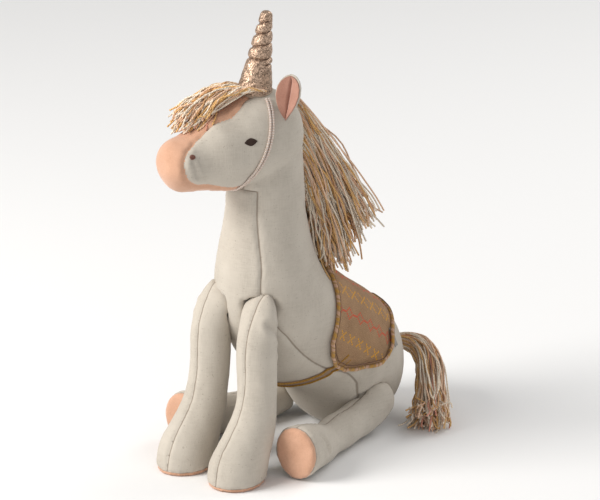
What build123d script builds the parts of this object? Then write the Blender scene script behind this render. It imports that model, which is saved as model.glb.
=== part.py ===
"""Seated plush unicorn, about 0.43 m tall: sewn skins over stuffing, sewn-on limbs, yarn hair, a blanket.

Frame, in millimetres: +Z up, the unicorn faces -Y, its left side is +X.
The origin is the middle of the flat seat under the rump, on the floor.
The head sits turned to the unicorn's right on a round neck, so head pieces are drawn facing -Y
and then turned about the neck's upright axis.
"""

import math
import os

from build123d import *

os.makedirs("parts", exist_ok=True)

# ---- driving dimensions -------------------------------------------------------------------------
CLOTH = 1.2  # thickness of every sewn skin
GAP = 0.4  # clear space between pieces that move past each other
TOUCH = 0.08  # space between pieces that lie on each other in one body
FAR = 400.0  # longer than any piece, for cutting blocks

NECK_Y = -104.0  # the neck's upright axis, in front of the seat
NECK_CUT_Z = 247.0  # where the turning upper neck meets the lower neck
HEAD_TURN = -17.5  # degrees the head is turned at rest, towards the unicorn's right

SHOULDER = Vector(27, -141, 157)  # left front leg's sewn hinge
SHOULDER_R = 12.5
SHOULDER_SOCKET_X = (8, 60)
HIP = Vector(49, -4, 29)  # left hind leg's sewn hinge
FRONT_SWINGS = [0]  # degrees of swing at which a front leg is cut clear of the trunk
HIND_SWINGS = [0, 62, 82]  # the same for a hind leg, whose underside comes back under the rump
HIP_R = 19.5
HIP_SOCKET_X = (30, 90)

BLANKET_T = 2.4
BINDING_W = 4.0
BAND_T = 1.0
BAND_W = 9.0
BAND_SLOPE = 39.0  # degrees, how steeply the girth strap runs down under the belly
BAND_POINT = (-59, 84)  # (y, z) where the strap meets the blanket's lower front corner
LABEL = (1.2, 9.0, 22.0)
LABEL_AT = (58.6, 17.5, 87)

HORN_BASE = Vector(0, NECK_Y - 11.5, 352.5)
HORN_LEAN = 10.5  # degrees, back from upright
HORN_R = 15.4
HORN_TIP_R = 6.2
HORN_L = 76.0
HORN_SEGMENTS = 5
HORN_PINCH = 1.5  # how deep the winding thread pulls the horn in
HORN_BULGE = 0.4  # how far each stretch swells between two turns of thread
HORN_FOOT = -8.0  # how far below its base the horn is drawn, before the head cuts it off
BASE_T = 1.5
BASE_MARGIN = 1.0  # how far the felt base stands out past the horn
BASE_REACH = 20.0  # how far each way the base is drawn along the horn, before the head cuts it off
THREAD_R = 0.6
ELASTIC_W = 4.5
ELASTIC_T = 1.4
ELASTIC_TOP = (NECK_Y - 8, 357)  # (y, z) where the elastic leaves the horn's base
ELASTIC_CHIN = (NECK_Y - 41, 267)  # (y, z) where it passes under the chin

EAR_ROOT = Vector(33.5, NECK_Y, 339.5)
EAR_L = 38.5
EAR_W = 24.0
EAR_OUT = 30.0  # degrees the ear faces outwards from straight ahead
EAR_BACK_T = 1.6
EAR_LINING_T = 1.4

EYE_AT = (NECK_Y - 38, 319)  # (y, z) on the side of the head
EYE_SIZE = (14.0, 7.4)
NOSTRIL_AT = (NECK_Y - 91, 310)
NOSTRIL_R = 2.6
STITCH_T = 0.8  # how far an embroidered eye or nostril stands proud

FRONT_SEAM_X = 29.0  # the front leg's seam between its outer and inner panel
TAIL_BINDING_R = 5.5
TAIL_BINDING_L = 2.4  # short enough to clear the rump as the tail swings

# Sections are (x, y, z, half width, half depth): the half depth lies across the path.
TORSO = [
    (0, 61, 16, 12, 10),
    (0, 54, 23.5, 30, 27),
    (0, 42, 33, 43.5, 43.5),
    (0, 19, 48.5, 54, 60.7),
    (0, -12, 81, 57, 59),
    (0, -50, 107, 57, 59.5),
    (0, -84, 137, 54, 57),
    (0, -102, 172, 49, 51),
    (0, NECK_Y - 1, 210, 41, 44),
    (0, NECK_Y, 238, 36, 38),
    (0, NECK_Y, 262, 35, 36),
]
UPPER_NECK = [
    (0, NECK_Y, 236, 36, 38),
    (0, NECK_Y, 262, 34.5, 36),
    (0, NECK_Y, 290, 33, 34.5),
    (0, NECK_Y + 1, 318, 31, 32),
]
HEAD = [
    (0, NECK_Y - 110, 298, 7, 7),
    (0, NECK_Y - 107, 298, 15, 15),
    (0, NECK_Y - 100, 298.5, 21, 21.5),
    (0, NECK_Y - 88, 299, 24, 24.5),
    (0, NECK_Y - 68, 302, 28.5, 30),
    (0, NECK_Y - 45, 306, 35.5, 37.5),
    (0, NECK_Y - 20, 310.5, 39.5, 43),
    (0, NECK_Y + 4, 315, 38.5, 41),
    (0, NECK_Y + 20, 318, 30, 31),
    (0, NECK_Y + 28, 319, 19, 19),
    (0, NECK_Y + 32, 319, 8, 8),
]
FRONT_LEG = [
    (27, -138, 170, 5, 3),
    (27, -139, 166, 11.5, 7),
    (27, -142, 157, 16, 11.5),
    (27, -147, 143, 18, 15),
    (27.5, -150, 124, 19, 17.5),
    (28, -150, 104, 19, 18.5),
    (29, -151, 84, 19, 19),
    (30, -155, 62, 19.5, 20.5),
    (30.5, -163, 42, 21.5, 23.5),
    (31, -174, 25, 24, 27),
    (31, -182, 11, 25.5, 28.5),
    (31, -185, 0, 24.5, 27.5),
    (31, -185, -4, 24, 27),
]
HIND_LEG = [
    (51, 13, 38, 4, 4),
    (50.5, 11, 36.5, 11, 12),
    (50, 6, 33.5, 15, 17),
    (49, -4, 29, 17, 19.5),
    (48.5, -22, 21.5, 17, 19),
    (52, -60, 18, 17, 17.5),
    (60, -97, 19, 18, 18.5),
    (65, -122, 23.5, 21.5, 23),
    (67.5, -138, 25.6, 23, 25.2),
    (68, -147, 25.8, 22.5, 25),
]
MANE = [
    (0, NECK_Y + 26, 360, 10, 6),
    (0, NECK_Y + 40, 342, 20, 16),
    (0, NECK_Y + 50, 310, 25, 26),
    (0, NECK_Y + 60, 272, 28, 33),
    (0, NECK_Y + 72, 238, 30, 40),
    (0, NECK_Y + 82, 208, 28, 38),
    (0, NECK_Y + 88, 184, 22, 24),
    (0, NECK_Y + 90, 170, 9, 8),
]
FORELOCK = [
    (-2, NECK_Y - 34, 357, 7, 4),
    (-8, NECK_Y - 40, 356, 13, 8),
    (-18, NECK_Y - 54, 350, 15, 9),
    (-26, NECK_Y - 70, 341, 13, 8),
    (-30, NECK_Y - 82, 330, 7, 4),
]
TAIL = [
    (6, 76, 56, 5, 5),
    (16, 84, 56, 8, 8),
    (36, 84, 52, 12, 12),
    (56, 70, 40, 13, 13),
    (71, 52, 25, 14, 13),
    (82, 36, 14, 15, 12),
    (90, 24, 8, 9, 6),
]
# Half widths of the chest and belly panel by height, and of the face's gusset by distance along the head.
CHEST_EDGE = [(0, 34), (30, 44), (55, 49), (86, 47), (126, 40), (150, 31), (166, 27), (190, 26), (213, 24),
              (262, 19)]
FACE_EDGE = [(-14, 8), (-33, 12), (-46, 17), (-56, 16), (-69, 13), (-82, 13), (-90, 16), (-97, 20),
             (-112, 26)]
# The blanket's outline on its side, as (y, z), clockwise from the withers.
BLANKET_SIDE = [(-40, 215), (-67, 178), (-79, 146), (-75, 104), (-62, 88), (-34, 75), (-6, 73), (11, 82),
                (16, 98), (46, 105), (90, 130)]


# ---- shared shapes ------------------------------------------------------------------------------
def section_planes(sections):
    """One plane per section, square to the path, with its x direction carried along without twist."""
    planes = []
    side = Vector(1, 0, 0)
    for i, section in enumerate(sections):
        ahead = Vector(*sections[min(i + 1, len(sections) - 1)][:3])
        behind = Vector(*sections[max(i - 1, 0)][:3])
        along = (ahead - behind).normalized()
        side = (side - along * side.dot(along)).normalized()
        planes.append(Plane(origin=section[:3], x_dir=side, z_dir=along))
    return planes


def oval(half_width, half_depth, count=12):
    """Points of an ellipse, always starting on its x side so that a loft doesn't twist."""
    turns = [2 * math.pi * i / count for i in range(count)]
    return [(half_width * math.cos(t), half_depth * math.sin(t)) for t in turns]


def stuffed(sections, grow=0.0):
    """A smooth closed solid through the sections, with every radius changed by grow."""
    with BuildPart() as body:
        for plane, (_, _, _, half_width, half_depth) in zip(section_planes(sections), sections):
            with BuildSketch(plane):
                with BuildLine():
                    Spline(*oval(half_width + grow, half_depth + grow), periodic=True)
                make_face()
        loft()
    return body.part


def block(x=(-FAR, FAR), y=(-FAR, FAR), z=(-FAR, FAR)):
    """A box between these limits, for cutting."""
    with BuildPart() as made:
        with Locations((sum(x) / 2, sum(y) / 2, sum(z) / 2)):
            Box(x[1] - x[0], y[1] - y[0], z[1] - z[0])
    return made.part


def side_prism(points, x=(-FAR, FAR)):
    """The outline given as (y, z) points, run along X between these limits."""
    with BuildPart() as made:
        with BuildSketch(Plane(origin=(x[0], 0, 0), x_dir=(0, 1, 0), z_dir=(1, 0, 0))):
            with BuildLine():
                Polyline(*points, close=True)
            make_face()
        extrude(amount=x[1] - x[0])
    return made.part


def cross_rod(centre, radius, x):
    """A rod along X through a centre, the shape of a sewn hinge's socket."""
    with BuildPart() as made:
        with BuildSketch(Plane(origin=(x[0], centre.Y, centre.Z), x_dir=(0, 1, 0), z_dir=(1, 0, 0))):
            Circle(radius)
        extrude(amount=x[1] - x[0])
    return made.part


def tilted_slab(low, high, thickness):
    """A slab square to the YZ plane, along the line between two (y, z) points and far past both."""
    run = (Vector(0, *high) - Vector(0, *low)).normalized()
    with BuildPart() as made:
        with BuildSketch(Plane(origin=(0, *low), x_dir=(1, 0, 0), z_dir=Vector(1, 0, 0).cross(run))):
            Rectangle(2 * FAR, 2 * FAR)
        extrude(amount=thickness / 2, both=True)
    return made.part


def mirrored(shape):
    """The same piece on the other side."""
    return mirror(shape, about=Plane.YZ)


def turned(shape):
    """A head piece, turned with the head about the neck's upright axis."""
    return shape.rotate(Axis((0, NECK_Y, 0), (0, 0, 1)), HEAD_TURN)


def save(piece, name):
    """Labels a finished piece and writes its STEP file."""
    piece.label = name
    export_step(piece, f"parts/{name}.step")
    print(f"{name}: {len(piece.solids())} solid(s), {piece.volume:.0f} mm3")


def save_pair(piece, name):
    """Writes a left piece and its mirror image as the right one."""
    save(piece, f"left_{name}")
    save(mirrored(piece), f"right_{name}")


# The two side panels are cut from one shell, so that both lie on the stuffing inside it.
HALVES = [("left", Keep.TOP), ("right", Keep.BOTTOM)]
# How far, and which way along X, each side's stitching is cut out of the layer over the head.
OUTWARD = [("left", FAR), ("right", -FAR)]

# ---- trunk: the root body -----------------------------------------------------------------------
with BuildPart() as sockets:
    add(cross_rod(SHOULDER, SHOULDER_R + GAP, SHOULDER_SOCKET_X))
    add(cross_rod(HIP, HIP_R + GAP, HIP_SOCKET_X))
    mirror(about=Plane.YZ)


def trunk(grow=0.0):
    """The trunk and lower neck, flat on the floor and cut level at the turning neck."""
    with BuildPart() as made:
        add(stuffed(TORSO, grow))
        add(block(z=(max(-grow, 0), NECK_CUT_Z - GAP / 2)), mode=Mode.INTERSECT)
        add(sockets.part, mode=Mode.SUBTRACT)
    return made.part


with BuildPart() as body_stuffing:
    add(trunk(-CLOTH - TOUCH))
save(body_stuffing.part, "body_stuffing")

with BuildPart() as body_skin:
    add(trunk())
    add(trunk(-CLOTH), mode=Mode.SUBTRACT)

with BuildPart() as chest_region:
    with BuildSketch(Plane.XZ):
        with BuildLine():
            right_edge = [(-w, z) for z, w in reversed(CHEST_EDGE)]
            Polyline(*[(w, z) for z, w in CHEST_EDGE], *right_edge, close=True)
        make_face()
    extrude(amount=FAR, both=True)
    # only the front of the neck and the under side of the trunk, as far as the middle of the seat
    front_and_under = [(-FAR, 300), (NECK_Y, 300), (NECK_Y, 172), (-84, 137), (-12, 81), (19, 40), (19, -5),
                       (-FAR, -5)]
    add(side_prism(front_and_under), mode=Mode.INTERSECT)

with BuildPart() as chest_belly_panel:
    add(body_skin.part)
    add(chest_region.part, mode=Mode.INTERSECT)
save(chest_belly_panel.part, "chest_belly_panel")

for side, half in HALVES:
    with BuildPart() as body_panel:
        add(body_skin.part)
        add(chest_region.part, mode=Mode.SUBTRACT)
        split(bisect_by=Plane.YZ, keep=half)
    save(body_panel.part, f"{side}_body_panel")

# ---- blanket, its binding, the strap under the belly and a blank label ---------------------------
with BuildPart() as blanket_layer:
    add(stuffed(TORSO, TOUCH + BLANKET_T))
    add(stuffed(TORSO, TOUCH), mode=Mode.SUBTRACT)
    add(side_prism(BLANKET_SIDE), mode=Mode.INTERSECT)

with BuildPart() as blanket_middle:
    with BuildSketch(Plane.YZ):
        with BuildLine():
            Polyline(*BLANKET_SIDE, close=True)
        make_face()
        offset(amount=-BINDING_W, kind=Kind.INTERSECTION)
    extrude(amount=FAR, both=True)

with BuildPart() as saddle_blanket:
    add(blanket_layer.part)
    add(blanket_middle.part, mode=Mode.INTERSECT)
save(saddle_blanket.part, "saddle_blanket")

with BuildPart() as blanket_binding:
    add(blanket_layer.part)
    add(blanket_middle.part, mode=Mode.SUBTRACT)
save(blanket_binding.part, "blanket_binding")

slope = math.radians(BAND_SLOPE)
BAND_RUN = (BAND_POINT[0] - math.cos(slope), BAND_POINT[1] - math.sin(slope))
with BuildPart() as girth_strap:
    add(stuffed(TORSO, TOUCH + BAND_T))
    add(stuffed(TORSO, TOUCH), mode=Mode.SUBTRACT)
    add(tilted_slab(BAND_POINT, BAND_RUN, BAND_W), mode=Mode.INTERSECT)
    add(side_prism(BLANKET_SIDE), mode=Mode.SUBTRACT)
    add(block(y=(-FAR, BAND_POINT[0] + BAND_W)), mode=Mode.INTERSECT)
save(girth_strap.part, "girth_strap")

with BuildPart() as side_label:
    with Locations(LABEL_AT):
        Box(*LABEL)
save(side_label.part, "side_label")

# ---- legs: each sewn on at a hinge, in two panels with a sole ------------------------------------
def limb(sections, hinge, radius, own_side, swings, grow=0.0):
    """A leg: beyond its hinge it clears the trunk at each swing, and at the hinge it is round."""
    with BuildPart() as made:
        add(stuffed(sections, grow))
        add(own_side, mode=Mode.INTERSECT)
        for swing in swings:
            trunk_from_leg = stuffed(TORSO, GAP - grow).rotate(Axis(hinge, (1, 0, 0)), -swing)
            add(trunk_from_leg, mode=Mode.SUBTRACT)
    with BuildPart() as knuckle:
        add(stuffed(sections, grow))
        add(cross_rod(hinge, radius + grow, (0, FAR)), mode=Mode.INTERSECT)
        add(made.part)
    return knuckle.part


def leg_pieces(kind, sections, hinge, radius, own_side, swings, sole_block, seam):
    """Saves the stuffing, sole, outer and inner panel of one pair of legs."""
    outer = limb(sections, hinge, radius, own_side, swings)
    inner = limb(sections, hinge, radius, own_side, swings, -CLOTH)
    with BuildPart() as stuffing:
        add(limb(sections, hinge, radius, own_side, swings, -CLOTH - TOUCH))
        add(sole_block, mode=Mode.SUBTRACT)
    save_pair(stuffing.part, f"{kind}_leg_stuffing")
    with BuildPart() as sole:
        add(outer)
        add(sole_block, mode=Mode.INTERSECT)
    save_pair(sole.part, f"{kind}_sole")
    for side in ("outer", "inner"):
        with BuildPart() as panel:
            add(outer)
            add(inner, mode=Mode.SUBTRACT)
            add(sole_block, mode=Mode.SUBTRACT)
            add(seam, mode=Mode.INTERSECT if side == "outer" else Mode.SUBTRACT)
        save_pair(panel.part, f"{kind}_leg_{side}")


below_shoulder = block(z=(0, SHOULDER.Z))
ahead_of_hip = block(y=(-FAR, HIP.Y))
front_sole_block = block(z=(-FAR, CLOTH))
front_seam = block(x=(FRONT_SEAM_X, FAR))
with BuildPart() as hind_sole_block:
    hind_sole_plane = section_planes(HIND_LEG)[-1]
    with BuildSketch(hind_sole_plane.offset(-2 * CLOTH)):
        Rectangle(FAR, FAR)
    extrude(amount=FAR)
with BuildPart() as hind_seam:
    with BuildSketch(Plane.XY):
        with BuildLine():
            seam_line = [(50, FAR), (49, -4), (48.5, -22), (60, -97), (68, -147), (68, -FAR)]
            Polyline(*seam_line, (FAR, -FAR), (FAR, FAR), close=True)
        make_face()
    extrude(amount=FAR, both=True)

leg_pieces("front", FRONT_LEG, SHOULDER, SHOULDER_R, below_shoulder, FRONT_SWINGS, front_sole_block,
           front_seam)
leg_pieces("hind", HIND_LEG, HIP, HIP_R, ahead_of_hip, HIND_SWINGS, hind_sole_block.part, hind_seam.part)

# ---- head: upper neck and head in one skin --------------------------------------------------------
def skull(grow=0.0):
    """The head and upper neck, cut level where the neck turns."""
    with BuildPart() as made:
        add(stuffed(HEAD, grow))
        add(stuffed(UPPER_NECK, grow))
        add(block(z=(NECK_CUT_Z + GAP / 2, FAR + NECK_CUT_Z)), mode=Mode.INTERSECT)
    return made.part


with BuildPart() as head_stuffing:
    add(skull(-CLOTH - TOUCH))
save(turned(head_stuffing.part), "head_stuffing")

with BuildPart() as head_skin:
    add(skull())
    add(skull(-CLOTH), mode=Mode.SUBTRACT)

with BuildPart() as face_region:
    with BuildSketch(Plane.XY):
        with BuildLine():
            right_edge = [(-w, NECK_Y + y) for y, w in reversed(FACE_EDGE)]
            Polyline(*[(w, NECK_Y + y) for y, w in FACE_EDGE], *right_edge, close=True)
        make_face()
    extrude(amount=FAR)
    # from the horn over the forehead and muzzle, then back along under the chin to the throat
    front_and_chin = [(NECK_Y - 14, FAR), (NECK_Y - 14, 320), (NECK_Y - 36, 300), (NECK_Y - 36, 262),
                      (-FAR, 262), (-FAR, FAR)]
    add(side_prism(front_and_chin), mode=Mode.INTERSECT)

with BuildPart() as face_gusset:
    add(head_skin.part)
    add(face_region.part, mode=Mode.INTERSECT)
save(turned(face_gusset.part), "face_gusset")

for side, half in HALVES:
    with BuildPart() as head_panel:
        add(head_skin.part)
        add(face_region.part, mode=Mode.SUBTRACT)
        split(bisect_by=Plane.YZ, keep=half)
    save(turned(head_panel.part), f"{side}_head_panel")

with BuildPart() as stitch_layer:
    add(skull(TOUCH + STITCH_T))
    add(skull(TOUCH), mode=Mode.SUBTRACT)

for side, way in OUTWARD:
    with BuildPart() as eye:
        with BuildSketch(Plane(origin=(0, *EYE_AT), x_dir=(0, 1, 0), z_dir=(1, 0, 0))):
            Ellipse(EYE_SIZE[0] / 2, EYE_SIZE[1] / 2)
        extrude(amount=way)
        add(stitch_layer.part, mode=Mode.INTERSECT)
    save(turned(eye.part), f"{side}_eye")

    with BuildPart() as nostril:
        with BuildSketch(Plane(origin=(0, *NOSTRIL_AT), x_dir=(0, 1, 0), z_dir=(1, 0, 0))):
            Circle(NOSTRIL_R)
        extrude(amount=way)
        add(stitch_layer.part, mode=Mode.INTERSECT)
    save(turned(nostril.part), f"{side}_nostril")

# what the lower neck and back sweep through as the head turns, as (radius, z), with room to spare
NECK_SWEEP = [(0, 266), (39.5, 266), (39.5, 240), (47, 208), (57, 172), (57, 150), (0, 150)]
with BuildPart() as neck_sweep:
    with BuildSketch(Plane(origin=(0, NECK_Y, 0), x_dir=(0, 1, 0), z_dir=(1, 0, 0))):
        with BuildLine():
            Polyline(*NECK_SWEEP, close=True)
        make_face()
    revolve(axis=Axis((0, NECK_Y, 0), (0, 0, 1)))

with BuildPart() as mane_yarn:
    add(stuffed(MANE))
    add(skull(TOUCH), mode=Mode.SUBTRACT)
    add(neck_sweep.part, mode=Mode.SUBTRACT)
save(turned(mane_yarn.part), "mane_yarn")

# ---- ears: an outer leaf of cloth and a velour lining in front of it ------------------------------
EAR_PLANE = Plane(
    origin=EAR_ROOT,
    x_dir=(math.cos(math.radians(EAR_OUT)), math.sin(math.radians(EAR_OUT)), 0),
    z_dir=(math.sin(math.radians(EAR_OUT)), -math.cos(math.radians(EAR_OUT)), 0),
)


def ear_leaf(plane, thickness, margin):
    """A pointed leaf standing on the ear's root, its edge drawn in by a margin."""
    half = EAR_W / 2 - margin
    with BuildPart() as leaf:
        with BuildSketch(plane):
            with BuildLine():
                Spline((0, margin), (half, 0.42 * EAR_L), (0, EAR_L - margin), tangents=[(1, 0.6), (-0.5, 1)])
                mirror(about=Plane.YZ)
            make_face()
        extrude(amount=thickness)
    return leaf.part


with BuildPart() as left_ear_back:
    add(ear_leaf(EAR_PLANE, -EAR_BACK_T, 0))
save(turned(left_ear_back.part), "left_ear_back")
save(turned(mirrored(left_ear_back.part)), "right_ear_back")

with BuildPart() as left_ear_lining:
    add(ear_leaf(EAR_PLANE, EAR_LINING_T, 1))
save(turned(left_ear_lining.part), "left_ear_lining")
save(turned(mirrored(left_ear_lining.part)), "right_ear_lining")

# ---- horn: a stuffed cone wound with thread, on a felt base held by an elastic --------------------
HORN_DIR = Vector(0, math.sin(math.radians(HORN_LEAN)), math.cos(math.radians(HORN_LEAN)))
HORN_AXIS = Axis(HORN_BASE, HORN_DIR)
# the plane's own y direction runs up the horn
HORN_PLANE = Plane(origin=HORN_BASE, x_dir=(1, 0, 0), z_dir=Vector(1, 0, 0).cross(HORN_DIR))
HORN_STEP = HORN_L / HORN_SEGMENTS


def horn_radius(height):
    """Radius of the horn's plain cone at a height above its base."""
    return HORN_R + (HORN_TIP_R - HORN_R) * height / HORN_L


def horn_solid(grow=0.0):
    """The horn turned from its profile: five bulges, each drawn in by the winding thread, and a round tip."""
    pinches = [i * HORN_STEP for i in range(1, HORN_SEGMENTS)]
    with BuildPart() as made:
        with BuildSketch(HORN_PLANE):
            with BuildLine():
                start = Vector(horn_radius(0) + grow, HORN_FOOT)
                line = Line((0, HORN_FOOT), start)
                for low, high in zip([HORN_FOOT] + pinches, pinches + [HORN_L - HORN_TIP_R]):
                    middle = (low + high) / 2
                    end_pull = HORN_PINCH if high in pinches else 0
                    end = Vector(horn_radius(high) - end_pull + grow, high)
                    line = ThreePointArc(line @ 1, (horn_radius(middle) + HORN_BULGE + grow, middle), end)
                Spline(line @ 1, (0, HORN_L + grow), tangents=[(0, 1), (-1, 0)])
                Line((0, HORN_L + grow), (0, HORN_FOOT))
            make_face()
        revolve(axis=HORN_AXIS)
    return made.part


with BuildPart() as horn_thread:
    for turn in range(1, HORN_SEGMENTS):
        height = turn * HORN_STEP
        with BuildSketch(HORN_PLANE):
            with Locations((horn_radius(height) - HORN_PINCH + THREAD_R * 1.4, height)):
                Circle(THREAD_R)
        revolve(axis=HORN_AXIS)
save(turned(horn_thread.part), "horn_thread")

with BuildPart() as horn_base:
    with BuildSketch(Plane(origin=HORN_BASE - HORN_DIR * BASE_REACH, z_dir=HORN_DIR)):
        Circle(HORN_R + BASE_MARGIN)
    extrude(amount=2 * BASE_REACH)
    add(skull(GAP + BASE_T), mode=Mode.INTERSECT)
    add(skull(GAP), mode=Mode.SUBTRACT)
save(turned(horn_base.part), "horn_base")

with BuildPart() as horn_cover:
    add(horn_solid())
    add(horn_solid(-CLOTH), mode=Mode.SUBTRACT)
    add(skull(GAP + BASE_T + TOUCH), mode=Mode.SUBTRACT)
    add(horn_thread.part, mode=Mode.SUBTRACT)
save(turned(horn_cover.part), "horn_cover")

with BuildPart() as horn_stuffing:
    add(horn_solid(-CLOTH - TOUCH))
    add(skull(GAP + BASE_T + TOUCH), mode=Mode.SUBTRACT)
save(turned(horn_stuffing.part), "horn_stuffing")

with BuildPart() as horn_elastic:
    add(skull(GAP + ELASTIC_T))
    add(skull(GAP), mode=Mode.SUBTRACT)
    add(tilted_slab(ELASTIC_CHIN, ELASTIC_TOP, ELASTIC_W), mode=Mode.INTERSECT)
    with BuildSketch(Plane(origin=HORN_BASE - HORN_DIR * BASE_REACH, z_dir=HORN_DIR)):
        Circle(HORN_R + BASE_MARGIN + TOUCH)
    extrude(amount=2 * BASE_REACH, mode=Mode.SUBTRACT)
save(turned(horn_elastic.part), "horn_elastic")

# ---- loose hair ------------------------------------------------------------------------------------
with BuildPart() as forelock_yarn:
    add(stuffed(FORELOCK))
    add(skull(GAP + ELASTIC_T), mode=Mode.SUBTRACT)
save(turned(forelock_yarn.part), "forelock_yarn")

with BuildPart() as tail_yarn:
    add(stuffed(TAIL))
save(tail_yarn.part, "tail_yarn")

with BuildPart() as tail_binding:
    with BuildSketch(Plane(origin=TAIL[0][:3], z_dir=Vector(*TAIL[0][:3]) - Vector(*TAIL[1][:3]))):
        Circle(TAIL_BINDING_R)
    extrude(amount=TAIL_BINDING_L)
save(tail_binding.part, "tail_binding")
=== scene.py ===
"""Seated plush unicorn: linen skin over stuffing, yarn hair, knitted saddle blanket and a glitter horn.

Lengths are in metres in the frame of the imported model: +Z up, the unicorn faces -Y, its left is +X.
"""
import logging
import math
import random
from collections.abc import Callable, Sequence
from dataclasses import dataclass, field
from enum import Enum

import bmesh
import bpy
import numpy as np
from mathutils import Matrix, Vector
from mathutils.bvhtree import BVHTree


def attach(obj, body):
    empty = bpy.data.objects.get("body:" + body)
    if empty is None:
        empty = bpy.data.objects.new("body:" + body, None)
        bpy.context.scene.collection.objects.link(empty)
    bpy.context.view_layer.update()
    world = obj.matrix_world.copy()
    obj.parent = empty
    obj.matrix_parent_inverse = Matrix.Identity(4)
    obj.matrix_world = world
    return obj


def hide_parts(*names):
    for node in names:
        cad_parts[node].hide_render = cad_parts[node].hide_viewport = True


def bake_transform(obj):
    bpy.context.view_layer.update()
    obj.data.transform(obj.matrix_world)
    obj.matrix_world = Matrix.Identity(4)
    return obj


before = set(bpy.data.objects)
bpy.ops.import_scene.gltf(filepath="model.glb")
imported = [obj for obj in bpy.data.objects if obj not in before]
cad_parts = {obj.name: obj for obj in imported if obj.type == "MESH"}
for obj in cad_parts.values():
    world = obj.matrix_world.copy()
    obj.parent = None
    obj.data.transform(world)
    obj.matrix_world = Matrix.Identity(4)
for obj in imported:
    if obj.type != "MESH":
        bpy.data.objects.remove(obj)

logging.basicConfig(level=logging.INFO, format="%(message)s")
LOG = logging.getLogger("unicorn")
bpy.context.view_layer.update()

MM = 0.001
NECK_Y = -104 * MM
HEAD_TURN = math.radians(-17.5)
TWIST_START_Z = 190 * MM
TWIST_END_Z = 258 * MM

Field = Callable[[np.ndarray], np.ndarray]


class Side(Enum):
    """The unicorn's left or right; the value is the sign of X."""

    LEFT = 1
    RIGHT = -1

    @property
    def word(self) -> str:
        """The side as it stands in piece names."""
        return self.name.lower()


# ---- small helpers --------------------------------------------------------------------------------
def smooth_step(t: np.ndarray) -> np.ndarray:
    """Cubic step from 0 to 1, flat at both ends."""
    t = np.clip(t, 0, 1)
    return t * t * (3 - 2 * t)


def turn_about_neck(points: np.ndarray, angle: np.ndarray | float) -> np.ndarray:
    """Turns points about the neck's upright axis.

    Args:
        points: Array of shape (n, 3).
        angle: One angle, or one per point, in radians.

    Returns:
        The turned points.
    """
    c, s = np.cos(angle), np.sin(angle)
    x, y = points[:, 0], points[:, 1] - NECK_Y
    return np.stack([c * x - s * y, s * x + c * y + NECK_Y, points[:, 2]], axis=1)


def to_head(points: Sequence[Sequence[float]]) -> np.ndarray:
    """Head points drawn facing -Y, moved to where the turned head has them."""
    return turn_about_neck(np.array(points, float).reshape(-1, 3), HEAD_TURN)


def untwisted(points: np.ndarray) -> np.ndarray:
    """Skin points with the neck's twist taken out, so that seams can be drawn on a straight animal."""
    share = smooth_step((points[:, 2] - TWIST_START_Z) / (TWIST_END_Z - TWIST_START_Z))
    return turn_about_neck(points, -HEAD_TURN * share)


def line_distance(points: np.ndarray, start: Sequence[float], end: Sequence[float]) -> np.ndarray:
    """Distance of each point from a straight segment.

    Args:
        points: Positions in metres, shape (n, 3).
        start: One end of the segment.
        end: Its other end.

    Returns:
        One distance per point, in metres.
    """
    a, b = np.array(start, float), np.array(end, float)
    t = np.clip((points - a) @ (b - a) / max((b - a) @ (b - a), 1e-12), 0, 1)
    return np.linalg.norm(points - (a + t[:, None] * (b - a)), axis=1)


def coords_of(mesh: bpy.types.Mesh) -> np.ndarray:
    """Vertex positions of a mesh as an (n, 3) array.

    Args:
        mesh: The mesh to read.

    Returns:
        The positions.
    """
    co = np.empty(len(mesh.vertices) * 3)
    mesh.vertices.foreach_get("co", co)
    return co.reshape(-1, 3)


def normals_of(mesh: bpy.types.Mesh) -> np.ndarray:
    """Vertex normals of a mesh as an (n, 3) array.

    Args:
        mesh: The mesh to read.

    Returns:
        The normals.
    """
    no = np.empty(len(mesh.vertices) * 3)
    mesh.vertices.foreach_get("normal", no)
    return no.reshape(-1, 3)


def set_coords(mesh: bpy.types.Mesh, co: np.ndarray) -> None:
    """Writes vertex positions back to a mesh."""
    mesh.vertices.foreach_set("co", co.astype(np.float32).ravel())
    mesh.update()


def add_object(name: str, mesh: bpy.types.Mesh,
               material: bpy.types.Material | None = None) -> bpy.types.Object:
    """Links a mesh as a new smooth-shaded object.

    Args:
        name: The piece's name.
        mesh: Its mesh.
        material: Its finish, if the mesh doesn't carry one.

    Returns:
        The new object, at the origin.
    """
    made = bpy.data.objects.new(name, mesh)
    bpy.context.scene.collection.objects.link(made)
    if material is not None:
        mesh.materials.clear()
        mesh.materials.append(material)
    mesh.shade_smooth()
    return made


def applied(obj: bpy.types.Object) -> bpy.types.Object:
    """Bakes an object's modifiers into a plain mesh and removes them.

    Args:
        obj: The object, changed in place.

    Returns:
        The same object.
    """
    bpy.context.view_layer.update()
    deps = bpy.context.evaluated_depsgraph_get()
    mesh = bpy.data.meshes.new_from_object(obj.evaluated_get(deps), preserve_all_data_layers=True,
                                           depsgraph=deps)
    obj.modifiers.clear()
    obj.data = mesh
    return obj


def merged_nodes(name: str, nodes: Sequence[str]) -> bpy.types.Object:
    """A copy of some CAD nodes as one mesh with its doubles merged.

    Args:
        name: The new name.
        nodes: The CAD nodes to copy.

    Returns:
        The new object.
    """
    bm = bmesh.new()
    for node in nodes:
        bm.from_mesh(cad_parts[node].data)
    bmesh.ops.remove_doubles(bm, verts=bm.verts, dist=1e-5)
    mesh = bpy.data.meshes.new(name)
    bm.to_mesh(mesh)
    bm.free()
    return add_object(name, mesh)


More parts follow.
